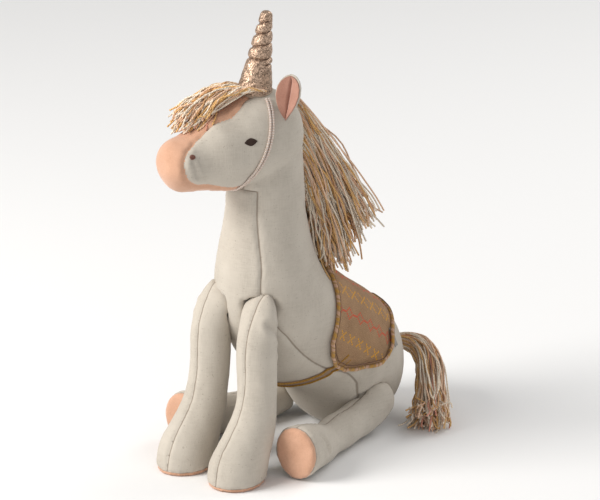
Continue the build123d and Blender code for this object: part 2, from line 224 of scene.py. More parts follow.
def solid_of(name: str, nodes: Sequence[str], voxel: float, soften: int) -> bpy.types.Object:
    """One even closed surface round some CAD nodes.

    Args:
        name: Name of the working object.
        nodes: CAD nodes to wrap.
        voxel: Size of the surface's faces.
        soften: Smoothing rounds.

    Returns:
        The new object with its modifiers applied.
    """
    made = merged_nodes(name, nodes)
    remesh = made.modifiers.new("even", "REMESH")
    remesh.mode = "VOXEL"
    remesh.voxel_size = voxel
    relax = made.modifiers.new("soften", "SMOOTH")
    relax.factor = 0.5
    relax.iterations = soften
    return applied(made)


def node_volume(node: str) -> float:
    """Volume of a CAD node's solid.

    Args:
        node: The CAD node.

    Returns:
        Its volume, in cubic metres.
    """
    made = merged_nodes(f"{node}_measure", (node,))
    bm = bmesh.new()
    bm.from_mesh(made.data)
    volume = abs(bm.calc_volume())
    bm.free()
    bpy.data.objects.remove(made)
    return volume


def surface_point(tree: BVHTree, centre: Vector, direction: Vector, reach: float = 0.3) -> tuple[Vector,
                                                                                                 Vector]:
    """The outermost surface point from a centre along a direction.

    Args:
        tree: Search tree of the surface.
        centre: A point inside it.
        direction: Unit direction outwards.
        reach: How far outside the ray starts.

    Returns:
        The point and the surface's outward normal there.
    """
    hit, normal, _, _ = tree.ray_cast(centre + direction * reach, -direction, reach * 2)
    if hit is None:
        return centre.copy(), direction.copy()
    return hit, normal if normal.dot(direction) > 0 else -normal


def scatter_noise(points: np.ndarray, wave: float, seed: int, layers: int = 5) -> np.ndarray:
    """Smooth pseudo-random values about 0 at points, from a few crossed sine waves.

    Args:
        points: Array of shape (n, 3).
        wave: Mean wavelength.
        seed: Seed of the waves' directions.
        layers: Number of waves.

    Returns:
        Values mostly between -1 and 1.
    """
    rng = np.random.default_rng(seed)
    total = np.zeros(len(points))
    for _ in range(layers):
        direction = rng.normal(size=3)
        direction *= 2 * math.pi / (np.linalg.norm(direction) * wave * rng.uniform(0.7, 1.5))
        total += np.sin(points @ direction + rng.uniform(0, 2 * math.pi))
    return total / layers * 1.6


# ---- materials ------------------------------------------------------------------------------------
class Nodes:
    """A short way of writing a material's node tree."""

    def __init__(self, name: str) -> None:
        """Makes an empty material with one Principled shader.

        Args:
            name: The material's name.
        """
        self.material = bpy.data.materials.new(name)
        self.material.use_nodes = True
        self.tree = self.material.node_tree
        self.shader = self.tree.nodes["Principled BSDF"]

    def add(self, kind: str, **settings: object) -> bpy.types.Node:
        """Adds a node and sets its properties.

        Args:
            kind: The node's type.
            **settings: Properties to set on it.

        Returns:
            The new node.
        """
        node = self.tree.nodes.new(kind)
        for key, value in settings.items():
            setattr(node, key, value)
        return node

    def link(self, source: bpy.types.NodeSocket, target: bpy.types.NodeSocket) -> None:
        """Joins two sockets."""
        self.tree.links.new(source, target)

    def feed(self, socket: bpy.types.NodeSocket, value: object) -> None:
        """Sets a socket from a number, a colour or another socket.

        Args:
            socket: The input to set.
            value: A number, a colour or an output socket.
        """
        if isinstance(value, bpy.types.NodeSocket):
            self.link(value, socket)
        else:
            socket.default_value = value

    def math(self, operation: str, a: object, b: object = 0.0, c: object = 0.0) -> bpy.types.NodeSocket:
        """One Math node's result.

        Args:
            operation: What the node works out.
            a: The first value.
            b: The second value.
            c: The third value.

        Returns:
            The node's output.
        """
        node = self.add("ShaderNodeMath", operation=operation)
        for socket, value in zip(node.inputs, (a, b, c)):
            self.feed(socket, value)
        return node.outputs[0]

    def mix(self, factor: object, a: object, b: object, blend: str = "MIX") -> bpy.types.NodeSocket:
        """A colour mix's result.

        Args:
            factor: How much of the second colour shows.
            a: The first colour.
            b: The second colour.
            blend: How the two are blended.

        Returns:
            The mixed colour.
        """
        node = self.add("ShaderNodeMix", data_type="RGBA", blend_type=blend)
        self.feed(node.inputs["Factor"], factor)
        self.feed(node.inputs[6], a)
        self.feed(node.inputs[7], b)
        return node.outputs[2]

    def mapped(self, source: bpy.types.NodeSocket, scale: tuple[float, float, float]) -> bpy.types.NodeSocket:
        """Coordinates stretched by a scale.

        Args:
            source: The coordinates.
            scale: The stretch along each axis.

        Returns:
            The stretched coordinates.
        """
        node = self.add("ShaderNodeMapping")
        self.link(source, node.inputs["Vector"])
        node.inputs["Scale"].default_value = scale
        return node.outputs[0]

    def noise(self, vector: bpy.types.NodeSocket, scale: float, detail: float = 2.0,
              rough: float = 0.5) -> bpy.types.NodeSocket:
        """A noise texture's value.

        Args:
            vector: The coordinates to read.
            scale: How fine it is.
            detail: How many octaves it has.
            rough: How strong the finer octaves are.

        Returns:
            The noise, from 0 to 1.
        """
        node = self.add("ShaderNodeTexNoise")
        self.link(vector, node.inputs["Vector"])
        node.inputs["Scale"].default_value = scale
        node.inputs["Detail"].default_value = detail
        node.inputs["Roughness"].default_value = rough
        return node.outputs["Fac"]

    def ramp(self, value: bpy.types.NodeSocket, low: float, high: float) -> bpy.types.NodeSocket:
        """A value stretched so that low becomes 0 and high becomes 1.

        Args:
            value: The value to stretch.
            low: What becomes 0.
            high: What becomes 1.

        Returns:
            The stretched value, clamped.
        """
        node = self.add("ShaderNodeMapRange")
        self.link(value, node.inputs["Value"])
        node.inputs["From Min"].default_value = low
        node.inputs["From Max"].default_value = high
        return node.outputs[0]

    def object_coords(self) -> bpy.types.NodeSocket:
        """The piece's own coordinates."""
        return self.add("ShaderNodeTexCoord").outputs["Object"]

    def attribute(self, name: str) -> bpy.types.Node:
        """A named attribute's node."""
        return self.add("ShaderNodeAttribute", attribute_name=name)

    def bump(self, height: bpy.types.NodeSocket, strength: float, distance: float) -> None:
        """Gives the shader a bump.

        Args:
            height: The height to follow.
            strength: How strong it is, from 0 to 1.
            distance: How high it stands, in metres.
        """
        node = self.add("ShaderNodeBump")
        node.inputs["Strength"].default_value = strength
        node.inputs["Distance"].default_value = distance
        self.link(height, node.inputs["Height"])
        self.link(node.outputs[0], self.shader.inputs["Normal"])

    def finish(self, roughness: float, sheen: float = 0.0, metallic: float = 0.0) -> bpy.types.Material:
        """Sets the shader's plain values and returns the material.

        Args:
            roughness: The shader's roughness.
            sheen: Its sheen weight.
            metallic: How metallic it is.

        Returns:
            The finished material.
        """
        self.shader.inputs["Roughness"].default_value = roughness
        self.shader.inputs["Sheen Weight"].default_value = sheen
        self.shader.inputs["Sheen Roughness"].default_value = 0.5
        self.shader.inputs["Metallic"].default_value = metallic
        self.shader.inputs["Specular IOR Level"].default_value = 0.25
        return self.material


Colour = tuple[float, float, float]


def rgba(colour: Colour) -> tuple[float, float, float, float]:
    """A colour with full alpha."""
    return (*colour, 1.0)


@dataclass(frozen=True)
class WovenCloth:
    """Linen: uneven threads both ways, small flecks and a faint mottling."""

    name: str
    light: Colour
    dark: Colour
    fleck: Colour
    thread: float = 0.55 * MM
    sheen: float = 0.12
    seam_shade: float = 0.62

    def build(self) -> bpy.types.Material:
        """Makes the material.

        Returns:
            The material.
        """
        n = Nodes(self.name)
        place = n.object_coords()
        rate = 1 / self.thread
        weft = n.noise(n.mapped(place, (rate * 0.11, rate * 0.11, rate)), 0.5, 1.5)
        warp = n.noise(n.mapped(place, (rate, rate, rate * 0.09)), 0.5, 1.5)
        cloud = n.noise(place, 42.0, 3.0)
        cloth = n.mix(n.ramp(weft, 0.22, 0.78), rgba(self.dark), rgba(self.light))
        other = n.mix(n.ramp(warp, 0.22, 0.78), rgba(self.dark), rgba(self.light))
        both = n.mix(0.5, cloth, other)
        clouded = n.mix(n.ramp(cloud, 0.3, 0.75), both, rgba(self.light))
        specks = n.ramp(n.noise(n.mapped(place, (1.0, 1.0, 1.6)), 520.0, 1.0), 0.69, 0.76)
        flecked = n.mix(n.math("MULTIPLY", specks, 0.4), clouded, rgba(self.fleck))
        line = n.ramp(n.attribute("seam").outputs["Fac"], 0.62, 0.86)
        sewn = n.mix(n.math("MULTIPLY", line, self.seam_shade), flecked, rgba(self.fleck))
        n.link(sewn, n.shader.inputs["Base Color"])
        n.bump(n.math("ADD", weft, warp), 0.55, 0.25 * MM)
        return n.finish(0.9, self.sheen)


@dataclass(frozen=True)
class Velour:
    """Short soft pile with a fine grain and brushed patches."""

    name: str
    light: Colour
    dark: Colour
    grain: float = 900.0

    def build(self) -> bpy.types.Material:
        """Makes the material.

        Returns:
            The material.
        """
        n = Nodes(self.name)
        place = n.object_coords()
        pile = n.noise(place, self.grain, 2.0, 0.7)
        patch = n.noise(place, 60.0, 3.0)
        tone = n.math("MULTIPLY_ADD", n.ramp(patch, 0.3, 0.7), 0.6,
                      n.math("MULTIPLY", n.ramp(pile, 0.3, 0.7), 0.4))
        n.link(n.mix(tone, rgba(self.dark), rgba(self.light)), n.shader.inputs["Base Color"])
        n.bump(pile, 0.4, 0.3 * MM)
        return n.finish(0.95, 0.35)


@dataclass(frozen=True)
class Glitter:
    """Metallic cloth with countless facets that catch the light one by one."""

    name: str
    bright: Colour
    dull: Colour
    facet: float = 1.1 * MM

    def build(self) -> bpy.types.Material:
        """Makes the material.

        Returns:
            The material.
        """
        n = Nodes(self.name)
        place = n.object_coords()
        cells = n.add("ShaderNodeTexVoronoi", feature="F1")
        n.link(place, cells.inputs["Vector"])
        cells.inputs["Scale"].default_value = 1 / self.facet
        split = n.add("ShaderNodeSeparateColor")
        n.link(cells.outputs["Color"], split.inputs[0])
        # painted glints: each facet's colour is set at random between the dull and the bright metal tone,
        # standing in for facets that catch or miss the light
        n.link(n.mix(split.outputs[0], rgba(self.dull), rgba(self.bright)), n.shader.inputs["Base Color"])
        n.link(n.math("MULTIPLY_ADD", split.outputs[1], 0.4, 0.22), n.shader.inputs["Roughness"])
        n.bump(n.math("ADD", split.outputs[2], n.noise(place, 1500.0)), 0.9, 0.35 * MM)
        return n.finish(0.4, 0.0, 0.85)


@dataclass(frozen=True)
class Yarn:
    """Twisted yarn: two plies wind round each other, and each strand keeps its own tint."""

    name: str
    lay: float = 3.2 * MM
    sheen: float = 0.25
    lint: float = 0.18

    def build(self) -> bpy.types.Material:
        """Makes the material.

        Returns:
            The material.
        """
        n = Nodes(self.name)
        tint = n.attribute("tint").outputs["Color"]
        along = n.attribute("along").outputs["Fac"]
        around = n.attribute("around").outputs["Fac"]
        turns = n.math("MULTIPLY_ADD", along, 1 / self.lay, n.math("MULTIPLY", around, 2.0))
        wave = n.math("SINE", n.math("MULTIPLY", turns, 2 * math.pi))
        groove = n.ramp(wave, -1.0, -0.1)
        fibre = n.noise(n.object_coords(), 1400.0, 2.0, 0.6)
        shaded = n.mix(n.math("MULTIPLY_ADD", groove, 0.25, 0.75), (0.12, 0.08, 0.05, 1.0), tint)
        n.link(n.mix(n.math("MULTIPLY", fibre, self.lint), shaded, (0.9, 0.85, 0.78, 1.0)),
               n.shader.inputs["Base Color"])
        n.bump(n.math("ADD", wave, fibre), 0.6, 0.3 * MM)
        return n.finish(0.85, self.sheen)


@dataclass(frozen=True)
class KnitMotif:
    """One row of coloured stitches on the blanket, at a distance from its ridge."""

    offset: float
    colour: Colour
    crossed: bool
    period: int
    reach: int


@dataclass(frozen=True)
class PatternedKnit:
    """Heathered knit with rows of linked diamonds and of crosses along the back."""

    name: str
    light: Colour
    dark: Colour
    stitch: float
    rows: tuple[KnitMotif, ...]

    def _row(self, n: Nodes, row: KnitMotif, across: bpy.types.NodeSocket,
             along: bpy.types.NodeSocket) -> bpy.types.NodeSocket:
        """Where a row's stitches are coloured: 1 on them and 0 off them.

        Args:
            n: The node tree being written.
            row: The motif that the row repeats.
            across: Distance across the knit.
            along: Distance along the knit.

        Returns:
            The mask.
        """
        shifted = n.math("DIVIDE", n.math("SUBTRACT", n.math("ABSOLUTE", across), row.offset), self.stitch)
        rise = n.math("ABSOLUTE", n.math("ROUND", shifted))
        step = n.math("ROUND", n.math("DIVIDE", along, self.stitch))
        half = row.period // 2
        place = n.math("ABSOLUTE",
                       n.math("SUBTRACT", n.math("FLOORED_MODULO", step, float(row.period)), float(half)))
        if row.crossed:
            on_arm = n.math("LESS_THAN", n.math("ABSOLUTE", n.math("SUBTRACT", place, rise)), 0.5)
            return n.math("MULTIPLY", on_arm, n.math("LESS_THAN", rise, row.reach + 0.5))
        ring = n.math("COMPARE", n.math("ADD", place, rise), float(row.reach), 0.6)
        bridge = n.math("MULTIPLY", n.math("GREATER_THAN", place, row.reach + 0.5),
                        n.math("LESS_THAN", rise, 0.5))
        return n.math("MAXIMUM", ring, bridge)

    def build(self) -> bpy.types.Material:
        """Makes the material.

        Returns:
            The material.
        """
        n = Nodes(self.name)
        place = n.object_coords()
        flat = n.add("ShaderNodeSeparateXYZ")
        n.link(n.attribute("flat").outputs["Vector"], flat.inputs[0])
        along, across = flat.outputs[0], flat.outputs[1]
        heather = n.noise(place, 700.0, 3.0, 0.7)
        cloud = n.noise(place, 55.0, 2.0)
        tone = n.math("MULTIPLY_ADD", n.ramp(cloud, 0.3, 0.7), 0.4,
                      n.math("MULTIPLY", n.ramp(heather, 0.3, 0.7), 0.6))
        colour = n.mix(tone, rgba(self.dark), rgba(self.light))
        for row in self.rows:
            on = self._row(n, row, across, along)
            worn = n.math("MULTIPLY", on, n.ramp(heather, 0.1, 0.36))
            colour = n.mix(worn, colour, rgba(row.colour))
        n.link(colour, n.shader.inputs["Base Color"])
        rib = n.math("SINE", n.math("MULTIPLY", across, 2 * math.pi / self.stitch))
        slant = n.math("MULTIPLY", n.math("ABSOLUTE", rib), self.stitch * 0.3)
        leg = n.math("SINE", n.math("MULTIPLY", n.math("ADD", along, slant), 2 * math.pi / self.stitch))
        n.bump(n.math("ADD", n.math("MULTIPLY", n.math("ADD", rib, leg), 0.4), heather), 0.7, 0.5 * MM)
        return n.finish(0.95, 0.08)


@dataclass(frozen=True)
class BandedCord:
    """Thread, tape or piping whose colour changes in blocks along its length."""

    name: str
    colours: tuple[Colour, Colour, Colour]
    block: float
    roughness: float = 0.8
    metallic: float = 0.0
    rib: float = 0.9 * MM

    def build(self) -> bpy.types.Material:
        """Makes the material.

        Returns:
            The material.
        """
        n = Nodes(self.name)
        along = n.attribute("along").outputs["Fac"]
        around = n.attribute("around").outputs["Fac"]
        slow = n.math("SINE", n.math("MULTIPLY", along, 2 * math.pi / self.block))
        quick = n.math("SINE", n.math("MULTIPLY_ADD", along, 2 * math.pi / (self.block * 0.37),
                                      n.math("MULTIPLY", around, 6.28)))
        colour = n.mix(n.ramp(slow, -0.12, 0.12), rgba(self.colours[0]), rgba(self.colours[1]))
        colour = n.mix(n.ramp(quick, 0.45, 0.65), colour, rgba(self.colours[2]))
        n.link(colour, n.shader.inputs["Base Color"])
        ribs = n.math("SINE",
                      n.math("MULTIPLY_ADD", along, 2 * math.pi / self.rib, n.math("MULTIPLY", around, 6.28)))
        n.bump(n.math("ADD", ribs, n.noise(n.object_coords(), 1800.0)), 0.6, 0.25 * MM)
        return n.finish(self.roughness, 0.15, self.metallic)


LINEN = WovenCloth("linen", (0.545, 0.495, 0.425), (0.42, 0.375, 0.315), (0.17, 0.125, 0.09))
PEACH = Velour("peach_velour", (0.68, 0.40, 0.27), (0.52, 0.285, 0.18))
EAR_PINK = Velour("ear_velour", (0.47, 0.25, 0.185), (0.32, 0.15, 0.105))
ROSE_GOLD = Glitter("rose_gold_glitter", (0.70, 0.50, 0.37), (0.19, 0.13, 0.09))
HAIR = Yarn("hair_yarn")
STITCHING = Yarn("embroidery", 1.0 * MM, 0.05, 0.03)
METALLIC_CORD = BandedCord("metallic_cord", ((0.70, 0.60, 0.52), (0.80, 0.76, 0.72), (0.50, 0.30, 0.20)),
                           2.4 * MM, 0.42, 0.55)
PIPING = BandedCord("knit_piping", ((0.50, 0.27, 0.06), (0.58, 0.36, 0.24), (0.40, 0.23, 0.10)), 14 * MM)
MUSTARD_TAPE = BandedCord("mustard_tape", ((0.50, 0.25, 0.035), (0.56, 0.29, 0.05), (0.13, 0.07, 0.03)),
                          3.0 * MM)
TAUPE = WovenCloth("strap_tape", (0.30, 0.21, 0.14), (0.20, 0.14, 0.09), (0.16, 0.11, 0.08), 0.9 * MM)
LABEL_CLOTH = WovenCloth("label_tape", (0.30, 0.28, 0.255), (0.20, 0.185, 0.17), (0.12, 0.11, 0.10), 0.5 * MM)
FELT = Velour("base_felt", (0.52, 0.40, 0.30), (0.36, 0.26, 0.19))
CORAL = (0.56, 0.10, 0.05)
MUSTARD = (0.66, 0.32, 0.035)
KNIT = PatternedKnit(
    "blanket_knit", (0.44, 0.27, 0.145), (0.27, 0.155, 0.08), 1.8 * MM,
    (
        KnitMotif(28 * MM, CORAL, False, 11, 3),
        KnitMotif(49 * MM, MUSTARD, True, 9, 3),
        KnitMotif(72 * MM, CORAL, False, 10, 3),
        KnitMotif(95 * MM, MUSTARD, True, 8, 2),
    ),
)


# ---- geometry nodes: tubes along lines --------------------------------------------------------------
@dataclass
class TubeLines:
    """Lines of points that Geometry Nodes turn into round or flat tubes in one piece."""

    name: str
    radius: float
    sides: int = 5
    flatness: float = 1.0
    lines: list[list[Vector]] = field(default_factory=list)
    tints: list[Colour] = field(default_factory=list)
    closed: bool = False

    def add(self, points: Sequence[Vector], tint: Colour = (0.5, 0.5, 0.5)) -> None:
        """Adds one line with its own colour."""
        self.lines.append([Vector(p) for p in points])
        self.tints.append(tint)

    def _guide(self) -> bpy.types.Mesh:
        """The lines as a mesh of loose edges with their tints.

        Returns:
            The mesh of loose edges.
        """
        verts: list[Vector] = []
        edges: list[tuple[int, int]] = []
        tints: list[float] = []
        for line, tint in zip(self.lines, self.tints):
            start = len(verts)
            verts.extend(line)
            edges.extend((i, i + 1) for i in range(start, len(verts) - 1))
            if self.closed:
                edges.append((len(verts) - 1, start))
            tints.extend([*tint, 1.0] * len(line))
        mesh = bpy.data.meshes.new(f"{self.name}_guide")
        mesh.from_pydata(verts, edges, [])
        mesh.attributes.new("tint", "FLOAT_COLOR", "POINT").data.foreach_set("color", tints)
        return mesh

    def _tree(self) -> tuple[bpy.types.NodeTree, dict[str, str]]:
        """Builds the node tree and tells each input's identifier by name.

        Returns:
            The node tree, and its inputs' identifiers by name.
        """
        tree = bpy.data.node_groups.new(f"{self.name}_tubes", "GeometryNodeTree")
        face = tree.interface
        face.new_socket("Geometry", in_out="INPUT", socket_type="NodeSocketGeometry")
        names = {}
        for label, kind in (("Radius", "NodeSocketFloat"), ("Sides", "NodeSocketInt"),
                            ("Material", "NodeSocketMaterial")):
            names[label] = face.new_socket(label, in_out="INPUT", socket_type=kind).identifier
        face.new_socket("Geometry", in_out="OUTPUT", socket_type="NodeSocketGeometry")
        new, link = tree.nodes.new, tree.links.new
        source, target = new("NodeGroupInput"), new("NodeGroupOutput")
        to_curve = new("GeometryNodeMeshToCurve")
        link(source.outputs["Geometry"], to_curve.inputs[0])
        lengths = new("GeometryNodeSplineParameter")
        keep_along = new("GeometryNodeStoreNamedAttribute")
        keep_along.inputs["Name"].default_value = "along"
        link(to_curve.outputs[0], keep_along.inputs["Geometry"])
        link(lengths.outputs["Length"], keep_along.inputs["Value"])
        circle = new("GeometryNodeCurvePrimitiveCircle")
        link(source.outputs["Sides"], circle.inputs["Resolution"])
        link(source.outputs["Radius"], circle.inputs["Radius"])
        squash = new("GeometryNodeTransform")
        squash.inputs["Scale"].default_value = (1.0, self.flatness, 1.0)
        link(circle.outputs[0], squash.inputs[0])
        share = new("GeometryNodeSplineParameter")
        keep_around = new("GeometryNodeStoreNamedAttribute")
        keep_around.inputs["Name"].default_value = "around"
        link(squash.outputs[0], keep_around.inputs["Geometry"])
        link(share.outputs["Factor"], keep_around.inputs["Value"])
        tube = new("GeometryNodeCurveToMesh")
        tube.inputs["Fill Caps"].default_value = True
        link(keep_along.outputs[0], tube.inputs["Curve"])
        link(keep_around.outputs[0], tube.inputs["Profile Curve"])
        real = new("GeometryNodeRealizeInstances")
        link(tube.outputs[0], real.inputs[0])
        dress = new("GeometryNodeSetMaterial")
        link(real.outputs[0], dress.inputs["Geometry"])
        link(source.outputs["Material"], dress.inputs["Material"])
        link(dress.outputs[0], target.inputs[0])
        return tree, names

    def build(self, material: bpy.types.Material) -> bpy.types.Object:
        """Runs the tree and returns the tubes as one plain mesh object.

        Args:
            material: The finish it is given.

        Returns:
            The finished object.
        """
        made = add_object(self.name, self._guide())
        tree, names = self._tree()
        modifier = made.modifiers.new("tubes", "NODES")
        modifier.node_group = tree
        modifier[names["Radius"]] = self.radius
        modifier[names["Sides"]] = self.sides
        modifier[names["Material"]] = material
        applied(made)
        made.data.shade_smooth()
        return made


# ---- cloth skins --------------------------------------------------------------------------------------
@dataclass(frozen=True)
class Crease:
    """A fold pressed into a skin along a straight run, with a soft ridge on each side."""

    start: tuple[float, float, float]
    end: tuple[float, float, float]
    depth: float = 1.2 * MM
    width: float = 2.5 * MM

    def on_side(self, side: Side) -> "Crease":
        """The same crease, mirrored if it belongs on the right.

        Args:
            side: The side it is for.

        Returns:
            The crease for that side.
        """
        sign = side.value
        start = (self.start[0] * sign, *self.start[1:])
        end = (self.end[0] * sign, *self.end[1:])
        return Crease(start, end, self.depth, self.width)

    def push(self, points: np.ndarray) -> np.ndarray:
        """How far the crease moves each point outwards."""
        d = line_distance(points, self.start, self.end) / self.width
        return self.depth * (0.45 * np.exp(-((d - 2.2) ** 2)) - np.exp(-(d**2)))


def split_at_zero(mesh: bpy.types.Mesh, field_of: Field) -> None:
    """Cuts a mesh along the line where a field is zero.

    Args:
        mesh: The mesh to cut.
        field_of: Gives the field's value at each point.
    """
    values = field_of(coords_of(mesh))
    bm = bmesh.new()
    bm.from_mesh(mesh)
    bm.verts.ensure_lookup_table()
    crossings = []
    for edge in list(bm.edges):
        a, b = (values[v.index] for v in edge.verts)
        if a * b < 0:
            crossings.append((edge, edge.verts[0], a / (a - b)))
    fresh = [bmesh.utils.edge_split(edge, vert, min(max(t, 0.04), 0.96))[1] for edge, vert, t in crossings]
    bmesh.ops.connect_verts(bm, verts=fresh)
    bm.to_mesh(mesh)
    bm.free()


@dataclass
class StuffedSkin:
    """A stuffed form covered in cut panels that meet at pressed-in seams."""

    name: str
    nodes: tuple[str, ...]
    voxel: float = 2.0 * MM
    soften: int = 8
    swell: float = 1.25 * MM
    seam_depth: float = 1.15 * MM
    seam_width: float = 1.5 * MM
    seam_fade: float = 2.2 * MM
    lump: float = 0.55 * MM
    seed: int = 3
    creases: tuple[Crease, ...] = ()

    def seam_fields(self) -> list[Field]:
        """The fields whose zero lines are the seams."""
        return []

    def seam_distance(self, points: np.ndarray) -> np.ndarray:
        """Distance of each point from its nearest seam."""
        return np.min([np.abs(f(points)) for f in self.seam_fields()], axis=0)

    def panel_of(self, points: np.ndarray) -> np.ndarray:
        """The index of the panel that each point lies in."""
        raise NotImplementedError

    def shape(self, points: np.ndarray, normals: np.ndarray) -> np.ndarray:
        """Moves the skin's points before the seams are pressed in."""
        return points

    def surface(self) -> bpy.types.Object:
        """The whole skin as one mesh, cut along its seams and pressed in at them.

        Returns:
            The skin's object.
        """
        made = solid_of(self.name, self.nodes, self.voxel, self.soften)
        mesh = made.data
        co = coords_of(mesh) + normals_of(mesh) * self.swell
        set_coords(mesh, self.shape(co, normals_of(mesh)))
        for seam in self.seam_fields():
            split_at_zero(mesh, seam)
        co, normals = coords_of(mesh), normals_of(mesh)
        d = self.seam_distance(co)
        push = -self.seam_depth * np.exp(-((d / self.seam_width) ** 2))
        push += 0.3 * MM * np.exp(-(((d - 4 * MM) / (3 * MM)) ** 2))
        pucker = scatter_noise(co, 7 * MM, self.seed + 1) * np.exp(-((d / (7 * MM)) ** 2))
        push += 0.35 * MM * pucker + self.lump * scatter_noise(co, 34 * MM, self.seed)
        push += 0.25 * self.lump * scatter_noise(co, 13 * MM, self.seed + 2)
        for crease in self.creases:
            push += crease.push(co)
        set_coords(mesh, co + normals * push[:, None])
        near = np.clip(1 - d / self.seam_fade, 0, 1).astype(np.float32)
        mesh.attributes.new("seam", "FLOAT", "POINT").data.foreach_set("value", near)
        return made

    def panels(self, names: Sequence[str], materials: Sequence[bpy.types.Material]) -> list[bpy.types.Object]:
        """Splits the skin into its panels.

        Args:
            names: One name per panel.
            materials: One finish per panel.

        Returns:
            The panels as separate objects.
        """
        whole = self.surface()
        mesh = whole.data
        centres = np.empty(len(mesh.polygons) * 3)
        mesh.polygons.foreach_get("center", centres)
        owner = self.panel_of(centres.reshape(-1, 3))
        made = []
        for index, (name, material) in enumerate(zip(names, materials)):
            bm = bmesh.new()
            bm.from_mesh(mesh)
            bm.faces.ensure_lookup_table()
            drop = [f for f in bm.faces if owner[f.index] != index]
            bmesh.ops.delete(bm, geom=drop, context="FACES")
            panel = bpy.data.meshes.new(name)
            bm.to_mesh(panel)
            bm.free()
            piece = add_object(name, panel, material)
            LOG.info("%s: %d faces", name, len(panel.polygons))
            made.append(piece)
        bpy.data.objects.remove(whole)
        return made


def table(points: Sequence[tuple[float, float]]) -> Callable[[np.ndarray], np.ndarray]:
    """A smooth-enough function through (input, output) pairs in millimetres, working in metres."""
    keys = np.array(points, float) * MM
    return lambda x: np.interp(x, keys[:, 0], keys[:, 1])


CHEST_WIDTH = table([(0, 34), (30, 44), (55, 49), (86, 47), (126, 40), (150, 31), (166, 27), (190, 27),
                     (213, 26), (240, 25), (262, 25), (275, 24)])
FACE_WIDTH = table([(-230, 26), (-216, 25), (-204, 20), (-198, 16.5), (-186, 12.5), (-173, 12.5), (-160, 15),
                    (-151, 16.6), (-142, 15.6),
                    (-134, 12), (-118, 8)])
CHIN_WIDTH = table([(-230, 26), (-214, 25), (-200, 20), (-188, 16.5), (-172, 17), (-150, 19), (-138, 20),
                    (-120, 18)])


@dataclass
class BodySkin(StuffedSkin):
    """Trunk, neck and head in one skin: two side panels, the chest and belly panel, and the face gusset."""

    name: str = "body_skin"
    nodes: tuple[str, ...] = ("body_stuffing", "head_stuffing")
    nostril: tuple[float, float, float] = (21 * MM, NECK_Y - 91 * MM, 306 * MM)
    lip: tuple[float, float, float] = (23 * MM, NECK_Y - 86.5 * MM, 291 * MM)
    throat_z: float = 266 * MM
    jaw_drop: float = 3.5 * MM

    def __post_init__(self) -> None:
        """Pulls a crease down from each nostril."""
        made = []
        for side in Side:
            ends = to_head([(p[0] * side.value, p[1], p[2]) for p in (self.nostril, self.lip)])
            made.append(Crease(tuple(ends[0]), tuple(ends[1]), 1.3 * MM, 1.8 * MM))
        self.creases = tuple(made)

    def shape(self, points: np.ndarray, normals: np.ndarray) -> np.ndarray:
        """Lets the full underside of the jaw sag.

        Args:
            points: Positions in metres, shape (n, 3).
            normals: Vertex normals, shape (n, 3); not used.

        Returns:
            The moved positions.
        """
        p = turn_about_neck(points, -HEAD_TURN)
        under = smooth_step((286 * MM - p[:, 2]) / (14 * MM)) * smooth_step((NECK_Y - 30 * MM - p[:, 1])
                                                                            / (14 * MM))
        points[:, 2] -= self.jaw_drop * under
        return points

    def chest_field(self, points: np.ndarray) -> np.ndarray:
        """Negative inside the chest and belly panel.

        Args:
            points: Positions in metres, shape (n, 3).

        Returns:
            One signed value per point.
        """
        p = untwisted(points)
        x, y, z = p[:, 0], p[:, 1], p[:, 2]
        middle = np.interp(z, np.array([0, 40, 81, 137, 172, 300]) * MM,
                           np.array([19, 19, -12, -84, -104, -104]) * MM)
        return np.maximum(np.maximum(np.abs(x) - CHEST_WIDTH(z), (y - middle) * 0.8), z - self.throat_z)

    def face_field(self, points: np.ndarray) -> np.ndarray:
        """Negative inside the face gusset.

        Args:
            points: Positions in metres, shape (n, 3).

        Returns:
            One signed value per point.
        """
        p = turn_about_neck(points, -HEAD_TURN)
        x, y, z = p[:, 0], p[:, 1], p[:, 2]
        upper = smooth_step((z - 296 * MM) / (10 * MM))
        width = upper * FACE_WIDTH(y) + (1 - upper) * CHIN_WIDTH(y)
        start = NECK_Y - 14 * MM - 19 * MM * np.clip((320 * MM - z) / (20 * MM), 0, 1)
        return np.maximum(np.maximum(np.abs(x) - width, y - start), self.throat_z - z)

    def middle_field(self, points: np.ndarray) -> np.ndarray:
        """Negative on the right side."""
        return untwisted(points)[:, 0]

    def seam_fields(self) -> list[Field]:
        """The skin's seam lines."""
        return [self.chest_field, self.face_field, self.middle_field]

    def seam_distance(self, points: np.ndarray) -> np.ndarray:
        """Distance from the nearest seam; the middle seam isn't on the chest or the face.

        Args:
            points: Positions in metres, shape (n, 3).

        Returns:
            One distance per point, in metres.
        """
        chest, face = self.chest_field(points), self.face_field(points)
        middle = np.where(np.minimum(chest, face) > 0, np.abs(self.middle_field(points)), 1.0)
        return np.minimum(np.minimum(np.abs(chest), np.abs(face)), middle)

    def panel_of(self, points: np.ndarray) -> np.ndarray:
        """0 left, 1 right, 2 chest and belly, 3 face.

        Args:
            points: Positions in metres, shape (n, 3).

        Returns:
            One panel number per point.
        """
        owner = np.where(self.middle_field(points) > 0, 0, 1)
        owner = np.where(self.chest_field(points) < 0, 2, owner)
        return np.where(self.face_field(points) < 0, 3, owner)

    def build(self, linen: bpy.types.Material, peach: bpy.types.Material) -> None:
        """Makes the four panels and ties the face gusset to the head.

        Args:
            linen: The linen finish.
            peach: The peach velour finish.
        """
        names = ("left_side_skin", "right_side_skin", "chest_belly_skin", "face_velour")
        left, right, chest, face = self.panels(names, (linen, linen, linen, peach))
        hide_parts("left_body_panel", "left_head_panel", "body_stuffing")
        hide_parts("right_body_panel", "right_head_panel", "head_stuffing")
        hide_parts("chest_belly_panel")
        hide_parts("face_gusset")
        for piece in (left, right, chest):
            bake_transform(piece)
        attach(face, "head")


